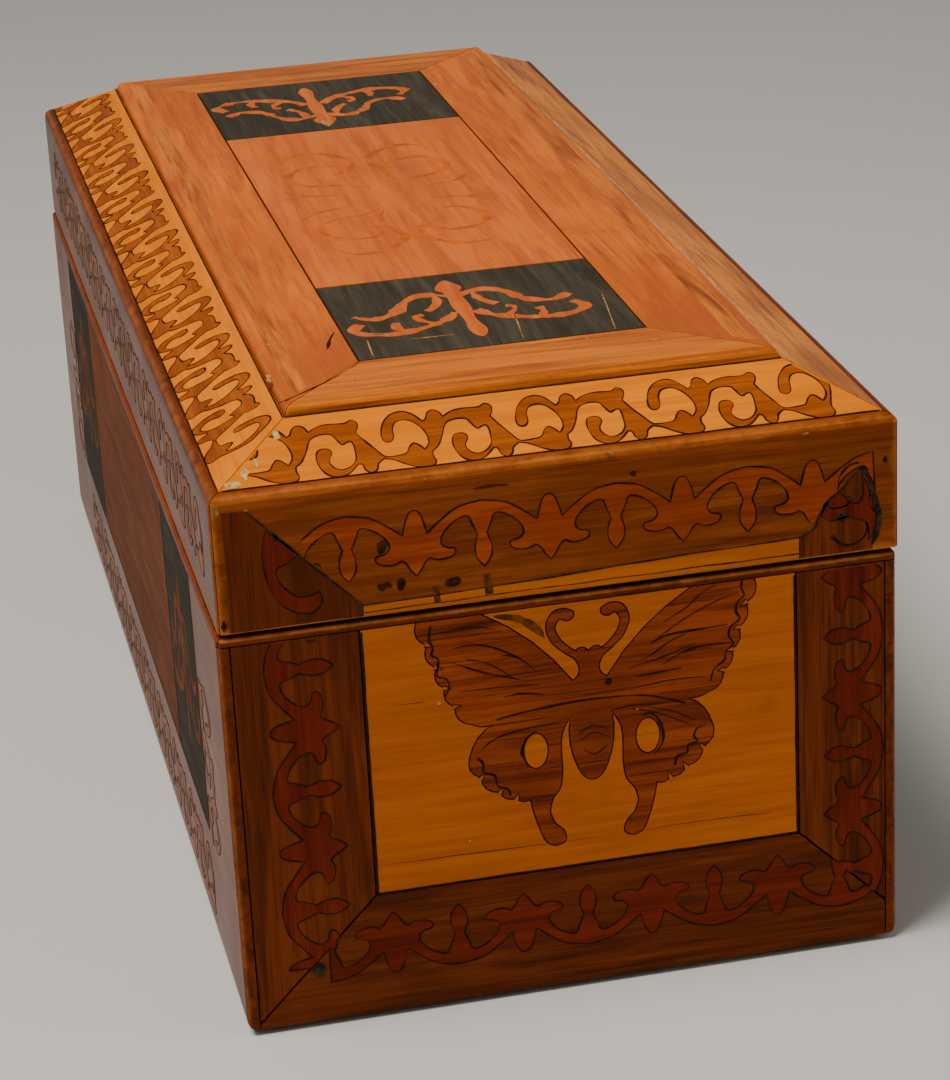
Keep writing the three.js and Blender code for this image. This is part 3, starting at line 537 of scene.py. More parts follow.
@cache
def saw_dirt():
    return paste("saw_dirt", (0.010, 0.003, 0.001), (0.035, 0.010, 0.0025), 900.0)


@cache
def age_brown():
    return paste("age_brown", (0.060, 0.016, 0.003), (0.190, 0.048, 0.005), 500.0, 0.5)


@cache
def bare_chip():
    return paste("bare_chip", (0.20, 0.085, 0.025), (0.46, 0.26, 0.10), 900.0)


@cache
def filler():
    return paste("dark_filler", (0.010, 0.006, 0.003), (0.055, 0.035, 0.015), 420.0)


def nail_stain():
    return paste("nail_stain", (0.012, 0.004, 0.0015), (0.075, 0.018, 0.003), 420.0, 0.45)


# ---- packed boards

CASE_BOX = joint_box("front_slide_board", "back_facing", "bottom_board", "rim_near", "rim_far")
LID_BOX = joint_box("lid_front_wall", "lid_back_wall", "lid_near_wall", "lid_far_wall")
TOP_BOX = joint_box("top_border_front", "top_border_back", "top_border_near", "top_border_far")

# The boards by their wood, their grain's direction, the box whose edges are rubbed, and how much.
BOARDS = (
    ("walnut", "z", CASE_BOX, 0.7, ("near_stile_left", "near_stile_right")),
    ("walnut", "x", CASE_BOX, 0.7, ("drawer_rail", "far_facing")),
    ("walnut", "y", CASE_BOX, 0.9, ("front_slide_board", "back_facing")),
    ("walnut", "x", CASE_BOX, 1.0, ("rim_near", "rim_far")),
    ("walnut", "y", LID_BOX, 0.8, ("lid_front_wall", "lid_back_wall")),
    ("lid walnut", "x", LID_BOX, 1.0, ("lid_near_wall", "lid_far_wall")),
    ("red stained", "y", CASE_BOX, 0.5, ("rim_front", "rim_back")),
    ("maple", "x", None, 0.0, ("near_panel",)),
    ("butterfly walnut", "x", None, 0.0, ("butterfly_inlay",)),
    ("bevel maple", "x", None, 0.0, ("bevel_near", "bevel_far")),
    ("bevel maple", "y", None, 0.0, ("bevel_front",)),
    ("bevel walnut", "y", None, 0.0, ("bevel_back",)),
    ("border amber", "x", TOP_BOX, 0.9, ("top_border_near", "top_border_far")),
    ("top red", "y", TOP_BOX, 0.9, ("top_border_front", "top_border_back")),
    ("top field", "y", None, 0.0, ("centre_field",)),
    ("ebonised", "y", None, 0.0, ("cartouche_near", "cartouche_far")),
    ("dark core", "y", None, 0.0, ("bottom_board",)),
    ("core", "x", None, 0.0, ("near_wall", "far_wall", "drawer_front", "drawer_back")),
    ("core", "y", None, 0.0, ("front_wall", "back_wall", "false_floor", "top_board", "front_slide_rail")),
    ("core", "y", None, 0.0, ("drawer_guide_left", "drawer_guide_right", "drawer_side_left",
                              "drawer_side_right", "drawer_bottom")),
)
BRASS = ("escutcheon", "near_hinge_case_leaf", "far_hinge_case_leaf", "near_hinge_lid_leaf",
         "far_hinge_lid_leaf")


def finish_boards():
    """Gives each packed board its own cut of wood, and each fitting its metal."""
    brass = metal("aged_brass", (0.66, 0.44, 0.15), (0.24, 0.14, 0.045), 3)
    steel = metal("aged_steel", (0.42, 0.40, 0.37), (0.13, 0.085, 0.055), 5, 0.38)
    cuts = {node: cut for *cut, nodes in BOARDS for node in nodes}
    for seed, (node, piece) in enumerate(sorted(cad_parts.items()), start=1):
        if node in cuts:
            kind, grain, worn_box, wear = cuts[node]
            reach = LID_WORN_REACH if worn_box is LID_BOX else WORN_REACH
            material = wood(node + "_wood", kind, grain, seed, worn_box, wear, reach)
        else:
            material = brass if node in BRASS else steel
        if not piece.material_slots:
            piece.data.materials.append(material)
        for slot in piece.material_slots:
            slot.material = material


# ---- faces

LEFT_X = low("front_slide_board").x
RIGHT_X = high("back_facing").x
NEAR_Y = low("near_panel").y
FAR_Y = high("far_facing").y
LID_LEFT_X = low("lid_front_wall").x
LID_RIGHT_X = high("lid_back_wall").x
LID_BOTTOM = low("lid_near_wall").z + 0.3
BAND_TOP_Z = high("lid_near_wall").z
BEVEL_TOP_Z = high("bevel_near").z
TOP_Z = high("cartouche_near").z
PANEL_LEFT = low("near_panel").x
PANEL_RIGHT = high("near_panel").x
PANEL_BOTTOM = low("near_panel").z
JOINT = 0.4  # veneers stop this far from a board's upper edge
STILE_TOP = high("near_stile_left").z - JOINT

# The bevels climb inwards from the rounded edge above the lid's band.
EDGE = 2.5
CLIMB_RUN = high("bevel_near").y - NEAR_Y - EDGE
CLIMB_RISE = BEVEL_TOP_Z - BAND_TOP_Z
CLIMB = math.hypot(CLIMB_RUN, CLIMB_RISE)

NEAR = Face((0, NEAR_Y, 0), (1, 0, 0), (0, 0, 1))
FAR = Face((0, FAR_Y, 0), (-1, 0, 0), (0, 0, 1))
LEFT = Face((LEFT_X, 0, 0), (0, -1, 0), (0, 0, 1))
RIGHT = Face((RIGHT_X, 0, 0), (0, 1, 0), (0, 0, 1))
LID_LEFT = Face((LID_LEFT_X, 0, 0), (0, -1, 0), (0, 0, 1))
LID_RIGHT = Face((LID_RIGHT_X, 0, 0), (0, 1, 0), (0, 0, 1))
TOP = Face((0, 0, TOP_Z), (1, 0, 0), (0, 1, 0))
BEVEL_NEAR = Face((0, NEAR_Y + EDGE, BAND_TOP_Z), (1, 0, 0), (0, CLIMB_RUN, CLIMB_RISE))
BEVEL_LEFT = Face((LID_LEFT_X + EDGE, 0, BAND_TOP_Z), (0, -1, 0), (CLIMB_RUN, 0, CLIMB_RISE))
BEVEL_RIGHT = Face((LID_RIGHT_X - EDGE, 0, BAND_TOP_Z), (0, 1, 0), (-CLIMB_RUN, 0, CLIMB_RISE))
BEVEL_FAR = Face((0, FAR_Y - EDGE, BAND_TOP_Z), (-1, 0, 0), (0, -CLIMB_RUN, CLIMB_RISE))


# ---- garland

# Half of the garland's repeat, from the middle of a hanging leaf (u = 0) to the middle of a flower.
HALF = 14.35
GARLAND_CREST = (
    ((0, 15.7), (5, 14.7), (9.2, 11.9), (11.7, 9.8)),
    ((11.7, 9.8), (12.6, 13.3), (13.5, 14.9), (HALF, 15.2)),
)
GARLAND_UNDERSIDE = (
    ((0, 0.8), (1.5, 2.8), (1.8, 5.3), (1.0, 8.2)),
    ((1.0, 8.2), (2.0, 10.5), (2.6, 12.2), (3.8, 12.5), (6.2, 11.4), (8.3, 9.3), (8.9, 7.3), (7.8, 6.1),
     (6.1, 5.7), (5.9, 4.7), (7.0, 3.8), (9.5, 3.5), (11.3, 4.2)),
    ((11.3, 4.2), (12.3, 3.4), (13.2, 1.8), (HALF, 0.4)),
)


def garland_side(strokes, first, last):
    """One side of the garland over whole halves: even halves run from leaf to flower, odd ones back."""
    half = runs(*strokes)
    path = []
    for index in range(first, last):
        if index % 2 == 0:
            path.extend(Vector((index * HALF + p.x, p.y)) for p in half[:-1])
        else:
            path.extend(Vector(((index + 1) * HALF - p.x, p.y)) for p in half[:0:-1])
    return path


def garland(first, last):
    """The closed outline of a garland from the first half to the last."""
    crest = garland_side(GARLAND_CREST, first, last)
    underside = garland_side(GARLAND_UNDERSIDE, first, last)
    return crest + underside[::-1]


def inlay(name, kerf_name, material, body, seed):
    """Two empty pieces: the inlay, and the saw's dark line round it."""
    return Veneer(name, material, body, seed), Veneer(kerf_name, saw_dirt(), body, seed)


def lay(face, outline, place, fill, kerf):
    """Lays a motif: the cut piece, and the saw's dark line round it."""
    outline = moved(outline, place)
    fill.plate(face, outline)
    kerf.line(face, outline, closed=True)


def close(pieces, face=None, cuts=()):
    """Trims the pieces along the cuts and finishes them."""
    for piece in pieces:
        for start, end in cuts:
            piece.trim(face, start, end)
        piece.finish()


# ---- scroll

# One repeat of the running scroll. Its upper side climbs from the stem round the big hook and the bud,
# its lower side runs under the leaf, round the small hook and back to the stem.
SCROLL_PITCH = 29.2
SCROLL_UPPER = (
    ((22.3, 4.9), (23.2, 4.3), (25.5, 4.3), (27.5, 4.7), (28.4, 6.1), (29.4, 7.2), (30.4, 6.9),
     (31.7, 5.2)),
    ((31.7, 5.2), (32.9, 7), (32.9, 9.5), (31.9, 12), (30.3, 13.8), (28.5, 14.4), (26.8, 13.8), (26.0, 12),
     (25.8, 9.8), (25.1, 8.6), (24.0, 8.4), (23.3, 9.3), (23.4, 11.5), (24.4, 14.3), (26.3, 16.4),
     (28.8, 17), (31, 15.8), (32.8, 13.3)),
    ((32.8, 13.3), (33.6, 14), (34.3, 15.7), (35.5, 16.4), (36.8, 15.6), (37.4, 14)),
    ((37.4, 14), (39.5, 15.3), (42, 15.7), (45.4, 15.5), (46.9, 16.3), (48.1, 15.4), (48, 13.9),
     (47.3, 12.5)),
    ((47.3, 12.5), (48.4, 10.2), (49.8, 7.8), (51.5, 4.9)),
)
SCROLL_LOWER = (
    ((22.5, 3.9), (24.5, 3.2), (27, 1.5), (29.5, 0.4), (32.3, 0.4), (33.3, 1.6), (33, 3.2), (33.2, 4.6)),
    ((33.2, 4.6), (34.6, 5.8), (36, 8.3), (36.9, 10.8), (38, 12.3), (40, 12.9), (42, 12.6), (42.7, 11.5),
     (43.4, 10), (44, 9.3), (44.8, 9.8), (45.8, 10), (46.2, 8.8), (46.1, 6.5), (45.8, 4.6), (44.5, 2.9),
     (42.5, 2.2), (41, 3), (40.3, 4.5), (40.6, 5.8), (41.3, 7), (41, 8.2), (39.8, 8.7), (38.4, 8.2),
     (37.8, 6), (38.2, 3.1), (39.5, 1), (41.5, 0.3), (43.5, 0.8), (45, 2.1), (46, 3.3)),
    ((46, 3.3), (46.9, 3), (47.3, 1.3), (48.5, 0.3), (49.7, 1.1), (50.3, 2.8), (51.7, 3.9)),
)
# The scroll's end: the big hook comes straight down to its leaf.
SCROLL_END = ((32.8, 13.3), (34.4, 11), (34.2, 8), (33.2, 4.6))


def scroll(first, repeats):
    """The closed outline of a running scroll, which ends with half a repeat more."""
    upper, lower = [], []
    for index in range(first, first + repeats):
        step = Vector((index * SCROLL_PITCH, 0))
        upper.extend(point + step for point in runs(*SCROLL_UPPER)[:-1])
        lower.extend(point + step for point in runs(*SCROLL_LOWER)[:-1])
    step = Vector(((first + repeats) * SCROLL_PITCH, 0))
    upper.extend(point + step for point in runs(*SCROLL_UPPER[:2], SCROLL_END)[:-1])
    lower.extend(point + step for point in runs(SCROLL_LOWER[0]))
    return upper + lower[::-1]


# How far the scroll stops short of the bevel's mitres.
MITRE_MARGIN = 0.6


def bevel_scrolls():
    """The scrolls on the two pale bevels, and the third on the far one, which repeats the near one."""
    brown = wood("scroll_brown", "scroll brown", "x", 31)
    brown_long = wood("scroll_brown_long", "scroll brown", "y", 32)
    sides = (
        ("near", BEVEL_NEAR, brown, LID_LEFT_X + EDGE, LID_RIGHT_X - EDGE, -3, 4),
        ("left", BEVEL_LEFT, brown_long, NEAR_Y + EDGE, FAR_Y - EDGE, -7, 11),
        ("far", BEVEL_FAR, brown, -LID_RIGHT_X + EDGE, -LID_LEFT_X - EDGE, -3, 4),
    )
    for seed, (name, face, material, left, right, first, repeats) in enumerate(sides, start=3):
        pieces = inlay(name + "_bevel_scroll", name + "_bevel_kerf", material, "lid", seed)
        lay(face, scroll(first, repeats), lambda u, v: (u, v), *pieces)
        start, end = left + MITRE_MARGIN, right - MITRE_MARGIN
        cuts = ((start, 0), (start + CLIMB_RUN, CLIMB)), ((end - CLIMB_RUN, CLIMB), (end, 0))
        close(pieces, face, cuts)
        edges = Veneer(name + "_bevel_edges", saw_dirt(), "lid", seed)
        edges.line(face, straight([(left + 1, 0.3), (right - 1, 0.3)]), 0.16, waver=0.12)
        foot = CLIMB - 0.25
        edges.line(face, straight([(left + CLIMB_RUN, foot), (right - CLIMB_RUN, foot)]), 0.2, waver=0.03)
        edges.finish()


# The mitres at the lower corners of the near end's frame, and the cuts at its joints.
MITRE = 30
MITRE_LEFT = ((PANEL_LEFT, PANEL_BOTTOM), (PANEL_LEFT - MITRE, PANEL_BOTTOM - MITRE))
MITRE_RIGHT = ((PANEL_RIGHT + MITRE, PANEL_BOTTOM - MITRE), (PANEL_RIGHT, PANEL_BOTTOM))
STILE_CUT_LEFT = ((-80, STILE_TOP), (-40, STILE_TOP))
STILE_CUT_RIGHT = ((50, STILE_TOP), (80, STILE_TOP))
LID_CUTS = (((-41.6, 99.5), (-66, 122)), ((-55.4, 95), (-55.4, 125)))
RAIL_CREST = 26.2
LID_FOOT = 104


def near_end_garlands():
    """Garlands on the near end: rail, stiles and the lid's band."""
    red_x = wood("red_inlay_x", "red inlay", "x", 41)
    red_z = wood("red_inlay_z", "red inlay", "z", 42)
    lid_red = wood("lid_inlay_x", "lid inlay", "x", 43)
    garlands = (
        ("rail_garland", red_x, "drawer", 5, (-4, 5), lambda u, v: (2.8 + u * 1.02, RAIL_CREST - v),
         (MITRE_LEFT[::-1], MITRE_RIGHT[::-1])),
        ("left_stile_garland", red_z, "case", 6, (-3, 4), lambda u, v: (-49.8 - v, 58 + u),
         (MITRE_LEFT, STILE_CUT_LEFT)),
        ("right_stile_garland", red_z, "case", 7, (-3, 4), lambda u, v: (57.4 + v * 0.92, 48.6 + u),
         (MITRE_RIGHT, STILE_CUT_RIGHT)),
        ("lid_near_garland", lid_red, "lid", 8, (-5, 4), lambda u, v: (12.3 + u * 1.015, LID_FOOT + v),
         LID_CUTS),
    )
    for name, material, body, seed, halves, place, cuts in garlands:
        pieces = inlay(name, name + "_kerf", material, body, seed)
        lay(NEAR, garland(*halves), place, *pieces)
        close(pieces, NEAR, cuts)


# ---- butterfly

# Veins, which thin out to their ends, and the lines along the wings' edges: half width and points.
VEINS = (
    (0.30, ((21.5, 76.3), (26, 78.5), (31, 79.4), (37.5, 79.2))),
    (0.20, ((17, 78), (19.5, 79.2), (23, 81.3), (27, 82.8))),
    (0.30, ((19, 81.5), (23, 83), (30, 83.4), (36.5, 83.7))),
    (0.15, ((19.5, 82), (23, 84), (28, 87), (34, 89.5), (39, 90.8))),
    (0.15, ((14, 76.5), (22, 78.2), (29, 80.3))),
    (0.22, ((15.5, 74.3), (20, 74.6), (26, 74.9))),
    (0.14, ((14, 71.5), (22, 72.3), (31, 72))),
    (0.16, ((22, 86), (27, 88.8), (31, 92), (34, 93.2))),
    (0.22, ((-24.5, 86.5), (-20, 86.8), (-15, 85.2), (-9.5, 81.8), (-6.5, 78.3))),
    (0.30, ((-14, 83.5), (-11, 82.8), (-8.5, 80.5))),
    (0.18, ((-22, 83.8), (-17, 82), (-11.5, 77.6))),
    (0.25, ((-25, 83.5), (-20, 81), (-15, 78.8), (-10, 77))),
    (0.25, ((-14, 73.5), (-10, 73.8), (-5, 73))),
    (0.13, ((-24, 76.5), (-15, 76), (-6, 75.5))),
    (0.16, ((-27, 90.5), (-20, 91), (-14, 89))),
    (0.24, ((-19.5, 62), (-16, 64.2), (-10, 65.4), (-2, 66))),
    (0.15, ((10, 67), (14, 67.5), (20, 67))),
    (0.13, ((14, 66.8), (20, 64.8), (28, 60.8))),
    (0.13, ((18, 66.5), (24, 64.5), (28.5, 62))),
    (0.18, ((2, 62.5), (5.6, 64), (9, 62.6))),
    (0.12, ((2.3, 60.8), (5.7, 62.3), (9, 60.8))),
    (0.16, ((3.2, 58.6), (5.8, 57.2), (8.4, 58.8))),
    (0.42, ((-9.4, 56.6), (-10.5, 60), (-9.6, 63), (-7.2, 64.6))),
    (0.40, ((16.4, 64.6), (19.2, 64.6), (21, 61), (20.9, 57.5), (19, 55))),
)
WING_LINES = (
    (0.26, ((-15.7, 68.4), (-8, 69.6), (0, 70.2), (12, 70.1), (18, 69.3), (23, 67.6), (26.6, 66.2))),
    (0.28, ((39.8, 93.3), (39.6, 91.6), (40.2, 90), (38.6, 88.4), (38.3, 86.3), (39.1, 84.6), (37, 82.8),
            (36.8, 80.6), (37.8, 78.9), (36, 77.3), (35.6, 75.3), (33.2, 73.6), (32.3, 70.8))),
    (0.28, ((-29, 92.5), (-29.6, 89.5), (-28.9, 87.3), (-29.4, 85.6), (-27.9, 84.6), (-28.2, 82),
            (-28.2, 80.6), (-26.1, 79.6), (-25.8, 77.4), (-26.8, 75.6))),
    (0.28, ((30.6, 60.2), (29, 59.9), (28.2, 58), (29, 56.6), (26.8, 55.9), (26.5, 54.2), (24.3, 53.6),
            (23.8, 51.6))),
    (0.28, ((-20.4, 60), (-19.2, 58.6), (-19.2, 56.4), (-16.8, 55.3), (-16.4, 52.8), (-14, 51.6),
            (-13.6, 50))),
)
# The saw followed the drawn veins in lines this much finer.
VEIN_SHARE = 0.75
WING_HOLE = ((9.4, 73.9), 0.8, 0.8)
MITRE_HOLE = ((-58.3, 14.2), 1.5, 1.8)
# Streaks along the pale panel's grain: half width and points.
PANEL_STREAKS = (
    (0.09, ((-44, 37.5), (-20, 37.2), (5, 36.8))),
    (0.09, ((14, 36.8), (30, 37.0), (46, 36.6))),
    (0.08, ((-38, 75.4), (-31, 75.0))),
    (1.0, ((-15.5, 92.7), (-10, 91.4), (-6.3, 88.7), (-4.4, 86.2))),
)
PANEL_CHIPS = ((-23.2, 40.3, 0.36, 0.288), (-28.2, 74.2, 0.55, 0.44), (15.6, 66.5, 0.25, 0.2),
               (-26, 85.4, 0.2, 0.16))

# Notches between the lobes of the wings' edges, measured from the butterfly's middle line.
WING_NOTCHES = ((35.2, 88.2), (33.4, 82.6), (31.8, 77.6), (29.8, 73.0), (24.9, 55.3), (20.9, 51.2),
                (17.3, 49.2))
# Every notch points at the wings' root. It starts on the lobes beside it and ends inside the wing.
WING_ROOT = (8, 74)
NOTCH_HALF_MOUTH = 0.65
NOTCH_MOUTH_RISE = 0.55
NOTCH_DEPTH = 1.2
NOTCH_KERF = 0.13


def wing_notches():
    """Deepens the notches of the wings: the pale panel reaches into each, edged by the saw's line."""
    middle = (low("butterfly_inlay").x + high("butterfly_inlay").x) / 2
    pale = Veneer("wing_notches", bpy.data.materials["near_panel_wood"], "case", 28)
    edges = Veneer("wing_notch_edges", saw_dirt(), "case", 28)
    for side in (1, -1):
        root = Vector((middle + side * WING_ROOT[0], WING_ROOT[1]))
        for x, z in WING_NOTCHES:
            corner = Vector((middle + side * x, z))
            inward = (root - corner).normalized()
            along = NOTCH_HALF_MOUTH * Vector((-inward.y, inward.x))
            mouth = corner - NOTCH_MOUTH_RISE * inward
            wedge = [mouth + along, corner + NOTCH_DEPTH * inward, mouth - along]
            pale.plate(NEAR, outline_of(wedge), GROUND, waver=0)
            edges.line(NEAR, straight(wedge), NOTCH_KERF, waver=0)
    pale.finish()
    edges.finish()


def butterfly_lines():
    """The saw lines on the butterfly and the hole beside its head."""
    lines = Veneer("butterfly_lines", saw_dirt(), "case", 11)
    for strokes, taper in ((VEINS, True), (WING_LINES, False)):
        for half_width, points in strokes:
            lines.line(NEAR, curve(points), VEIN_SHARE * half_width, OVERLAY, taper=taper)
    lines.plate(NEAR, oval(*WING_HOLE), OVERLAY)
    lines.finish()


def panel_frame_line():
    """The open joint round the pale panel, wider up its sides than along its foot."""
    left, right = PANEL_LEFT + 0.1, PANEL_RIGHT - 0.1
    top_left, foot_left = (left, STILE_TOP), (left, PANEL_BOTTOM)
    top_right, foot_right = (right, STILE_TOP), (right, PANEL_BOTTOM)
    joint = Veneer("panel_frame_line", saw_dirt(), "case", 13)
    for start, end, half_width in (
        (top_left, foot_left, 0.26), (foot_left, foot_right, 0.2), (foot_right, top_right, 0.26),
    ):
        joint.line(NEAR, straight([start, end]), half_width, waver=0.1)
    joint.finish()


def panel_marks():
    """The filled hole at the mitre, the streaks and chips on the pale panel and the joint round it."""
    hole = Veneer("mitre_hole", filler(), "case", 10)
    hole.plate(NEAR, oval(*MITRE_HOLE, 12), STAIN_TOP)
    hole.finish()
    marks("panel_streaks", age_brown(), "case", 12, NEAR, GROUND, PANEL_STREAKS)
    panel_frame_line()
    marks("panel_chips", bare_chip(), "case", 14, NEAR, STAIN_TOP, spots=PANEL_CHIPS)


# ---- near end of the lid

STRIP_LEFT, STRIP_RIGHT = -43.5, 53.0
STRIP_TOP = ((STRIP_LEFT, 99.3), (-10, 99.8), (20, 101), (STRIP_RIGHT, 101.8))
LEFT_JOINT = ((STRIP_LEFT, 99.4), (-50.5, 106.6), (-58.5, 115), (-66.5, 123.6))
LEFT_FOOT_TOP = 123.8
RIGHT_JOINT = ((STRIP_RIGHT, 101.8), (56, 103.2), (57.6, 106), (59.4, 109.6), (62, 111.4), (65, 114.4),
               (67.3, 116.4))
RIGHT_CRACK = ((67.3, 116.4), (68.9, 113), (70, 109), (71, 104.5), (70.6, 101), (69.3, 98))
LIPPING = 2.6
LEFT_CRESCENT = (
    ((-63, 119), (-63.9, 114), (-63.3, 108), (-62, 104), (-60, 101.2), (-57.2, 99.6)),
    ((-57.2, 99.6), (-54, 99.3), (-51.9, 101.5), (-52.4, 103.8)),
    ((-52.4, 103.8), (-54.5, 103.2), (-57, 103.2), (-60, 106), (-61.2, 109.6), (-58.5, 111),
     (-56.2, 112.6)),
)
RIGHT_CRESCENT = (
    ((66.8, 114.8), (68.2, 112), (69.5, 108), (70.3, 104.5), (69.7, 101), (68.4, 99)),
    ((68.4, 99), (68.6, 101.5), (67.8, 103.5), (65.6, 104.6), (63.6, 105.2), (60, 104.6), (57.8, 106.2)),
    ((57.8, 106.2), (59.6, 109.5), (62.2, 111.2)),
    ((62.2, 111.2), (64.4, 108.8), (66.4, 108.2), (67.4, 110.4), (66.8, 114.8)),
)
# Saw lines in the right foot that cut out nothing: half width and points.
STRAY_CUTS = (
    (0.3, ((60.2, 101), (62.6, 98.6), (66, 98.8), (68.2, 101.2), (68, 103.4))),
    (0.2, ((61.8, 112.2), (62, 114.6), (64, 116.8), (66.4, 117.3))),
)
JOINT_HOLES = ((62.5, 105.2, 1.6, 1.1), (59, 108.2, 0.8, 1.3), (-60.8, 116.8, 0.7, 0.8))
NAIL_SCRATCH = ((0.3, ((-18.5, 122.3), (-14.5, 122.6), (-10.5, 122.3))),)
NAIL_STAINS = (
    (-38.4, 112, 1.2, 1.4), (-38.2, 103, 1.7, 1.0), (-35, 102.8, 0.8, 1.4), (-23.6, 102.2, 1.6, 0.9),
    (-73.2, 98.6, 0.5, 1.4), (72.4, 117.4, 0.5, 0.7), (16.3, 121.4, 0.7, 0.7),
)
# Pale marks on the lid's rounded edge, in the colour of bare chips: partly real chips, partly painted
# highlights where the edge catches the light.
LID_CHIPS_AND_HIGHLIGHTS = ((-72.6, 124.6, 0.7, 1.2), (11.5, 126.4, 1.0, 0.55), (-28.5, 126, 0.3, 0.3),
             (54.5, 125.4, 0.8, 0.25), (-66.5, 123.8, 0.4, 0.25))
DRIPS = ((-27.2, 101.4), (-16.2, 102.6))
DRIP_FOOT = 97.8


def lid_strip_and_feet():
    """The pale strip along the lid's lower edge, and the feet of its mitred frame."""
    strip = Veneer("lid_pale_strip", wood("lid_strip_wood", "maple", "x", 51), "lid", 15)
    foot = straight([(STRIP_RIGHT, LID_BOTTOM), (STRIP_LEFT, LID_BOTTOM)])
    strip.plate(NEAR, foot + curve(STRIP_TOP), OVERLAY)
    strip.finish()
    feet = Veneer("lid_frame_feet", wood("lid_feet_wood", "walnut", "z", 52), "lid", 16)
    edge = LID_LEFT_X + LIPPING
    left = [*LEFT_JOINT[::-1], (STRIP_LEFT, LID_BOTTOM), (edge, LID_BOTTOM), (edge, LEFT_FOOT_TOP)]
    feet.plate(NEAR, outline_of(left), OVERLAY)
    foot = straight([(RIGHT_CRACK[-1][0], LID_BOTTOM), (STRIP_RIGHT, LID_BOTTOM)])
    feet.plate(NEAR, foot + curve(RIGHT_JOINT)[:-1] + curve(RIGHT_CRACK), OVERLAY)
    feet.finish()


def lid_crescents():
    """The red crescents in the two feet, and stray cuts of the saw."""
    crescents = Veneer("lid_feet_crescents", wood("red_feet", "red inlay", "z", 53), "lid", 17)
    kerf = Veneer("lid_feet_kerf", saw_dirt(), "lid", 17)
    chord = straight([LEFT_CRESCENT[-1][-1], LEFT_CRESCENT[0][0]])
    for outline in (runs(*LEFT_CRESCENT)[:-1] + chord[:-1], runs(*RIGHT_CRESCENT)[:-1]):
        crescents.plate(NEAR, outline, KERF_TOP)
        kerf.line(NEAR, outline, KERF, STAIN_TOP, closed=True)
    for half_width, points in STRAY_CUTS:
        kerf.line(NEAR, curve(points), half_width, STAIN_TOP)
    crescents.finish()
    kerf.finish()


def lid_joints():
    """The filled joints round the lid's strip and feet."""
    joints = Veneer("lid_filled_joints", filler(), "lid", 18)
    left_end, right_end = ([(point[0], LID_BOTTOM), point] for point in (STRIP_TOP[0], STRIP_TOP[-1]))
    for path, half_width in (
        (straight(LEFT_JOINT), 0.24), (curve(RIGHT_CRACK), 0.42), (curve(RIGHT_JOINT), 0.2),
        (curve(STRIP_TOP), 0.16), (straight(left_end), 0.18), (straight(right_end), 0.2),
        (straight([(STRIP_LEFT, 97.6), (STRIP_RIGHT, 98.1)]), 0.1),
    ):
        joints.line(NEAR, path, half_width, STAIN_TOP)
    blots(joints, NEAR, STAIN_TOP, JOINT_HOLES)
    joints.finish()


def lid_stains():
    """Dark spots round nails, brown drips over the pale strip, and pale marks along the rounded edge:
    partly chips, partly painted highlights.
    """
    marks("lid_nail_stains", nail_stain(), "lid", 19, NEAR, KERF_TOP, NAIL_SCRATCH, NAIL_STAINS)
    drips = Veneer("lid_drips", age_brown(), "lid", 29)
    for x, top in DRIPS:
        drips.line(NEAR, straight([(x, top), (x + 0.2, DRIP_FOOT)], 0.8), 0.6, KERF_TOP, waver=0.5)
    drips.finish()
    marks("lid_chips_and_highlights", bare_chip(), "lid", 20, NEAR, GROUND, spots=LID_CHIPS_AND_HIGHLIGHTS)


# ---- top

ARABESQUE_SPINE = ((0, 22.5), (-2.2, 19.5), (-3.2, 16), (-1.8, 12), (-2.2, 2), (-1.4, -8), (-2.1, -16),
                   (0, -20.8), (2.0, -16), (1.3, -8), (2.0, 2), (1.7, 12), (3.0, 16), (1.8, 20))
# Arms that spring from the spine: half width and points. They are mirrored to the other side.
ARABESQUE_ARMS = (
    (1.25, ((1, 10.5), (4, 12.2), (8, 13), (12, 9.5), (14.5, 3.6), (17.5, 0.6), (21.5, -0.2),
            (25.2, 2.8))),
    (0.95, ((4.4, 11.6), (4.8, 7), (6.6, 3.2), (8.2, 1.4))),
    (1.25, ((2.5, -1.5), (5.4, -6.2), (11, -10), (17, -12), (23, -11.4), (27, -7.5), (24.8, -3))),
    (0.9, ((8, -8), (10.6, -5.2), (11.4, -1.8), (9.6, -1))),
    (0.9, ((15.6, -11.6), (17.2, -8), (16.6, -4.6))),
)
# Each arm lies this much higher than the last, so that none shares its top face with another.
ARM_STEP = 0.003
SPINE_X = (low("cartouche_near").x + high("cartouche_near").x) / 2 - 3.0
FIELD_X = SPINE_X + 1.0
# A quarter of the faded drawing of the field, from its middle.
FIELD_STROKES = (
    ((2, 8), (8, 14), (16, 16), (21, 24), (17, 33), (9, 34), (6, 28), (10, 24)),
    ((3, 12), (5, 24), (2, 36), (8, 46), (16, 47), (20, 42)),
    ((12, 6), (20, 8), (24, 14)),
)
# The amber band along each long border: its outer edge's inset, its width, and how far its ends stand back.
NOSING_INSET = 2.7
NOSING_WIDTHS = (4.2, -4.6)
NOSING_END = 6
NOSING_MITRE = 4.5
CRACKS = (
    (0.14, ((6.8, -101), (5.4, -112), (4, -124))), (0.14, ((28.6, -98), (27, -110), (25, -124))),
    (0.14, ((-29, -112), (-30, -124))), (0.14, ((-20, -114.5), (-10, -114.8))),
    (0.14, ((-31, -106), (-20, -110.3))),
)
TOP_CHIPS = (
    (-9, -133, 0.49, 0.63), (-37, -138, 0.35, 1.05), (31.4, -134.5, 0.7, 0.42), (-54.4, -130, 0.49, 2.1),
    (-50.6, -107, 0.42, 0.77), (-47.5, -105, 0.35, 0.49), (17.5, -128, 0.28, 0.56), (-4.6, 77, 1.12, 3.64),
    (33, 107, 0.84, 2.1), (34, -66, 0.35, 0.7), (-46, -88, 0.21, 1.54),
)


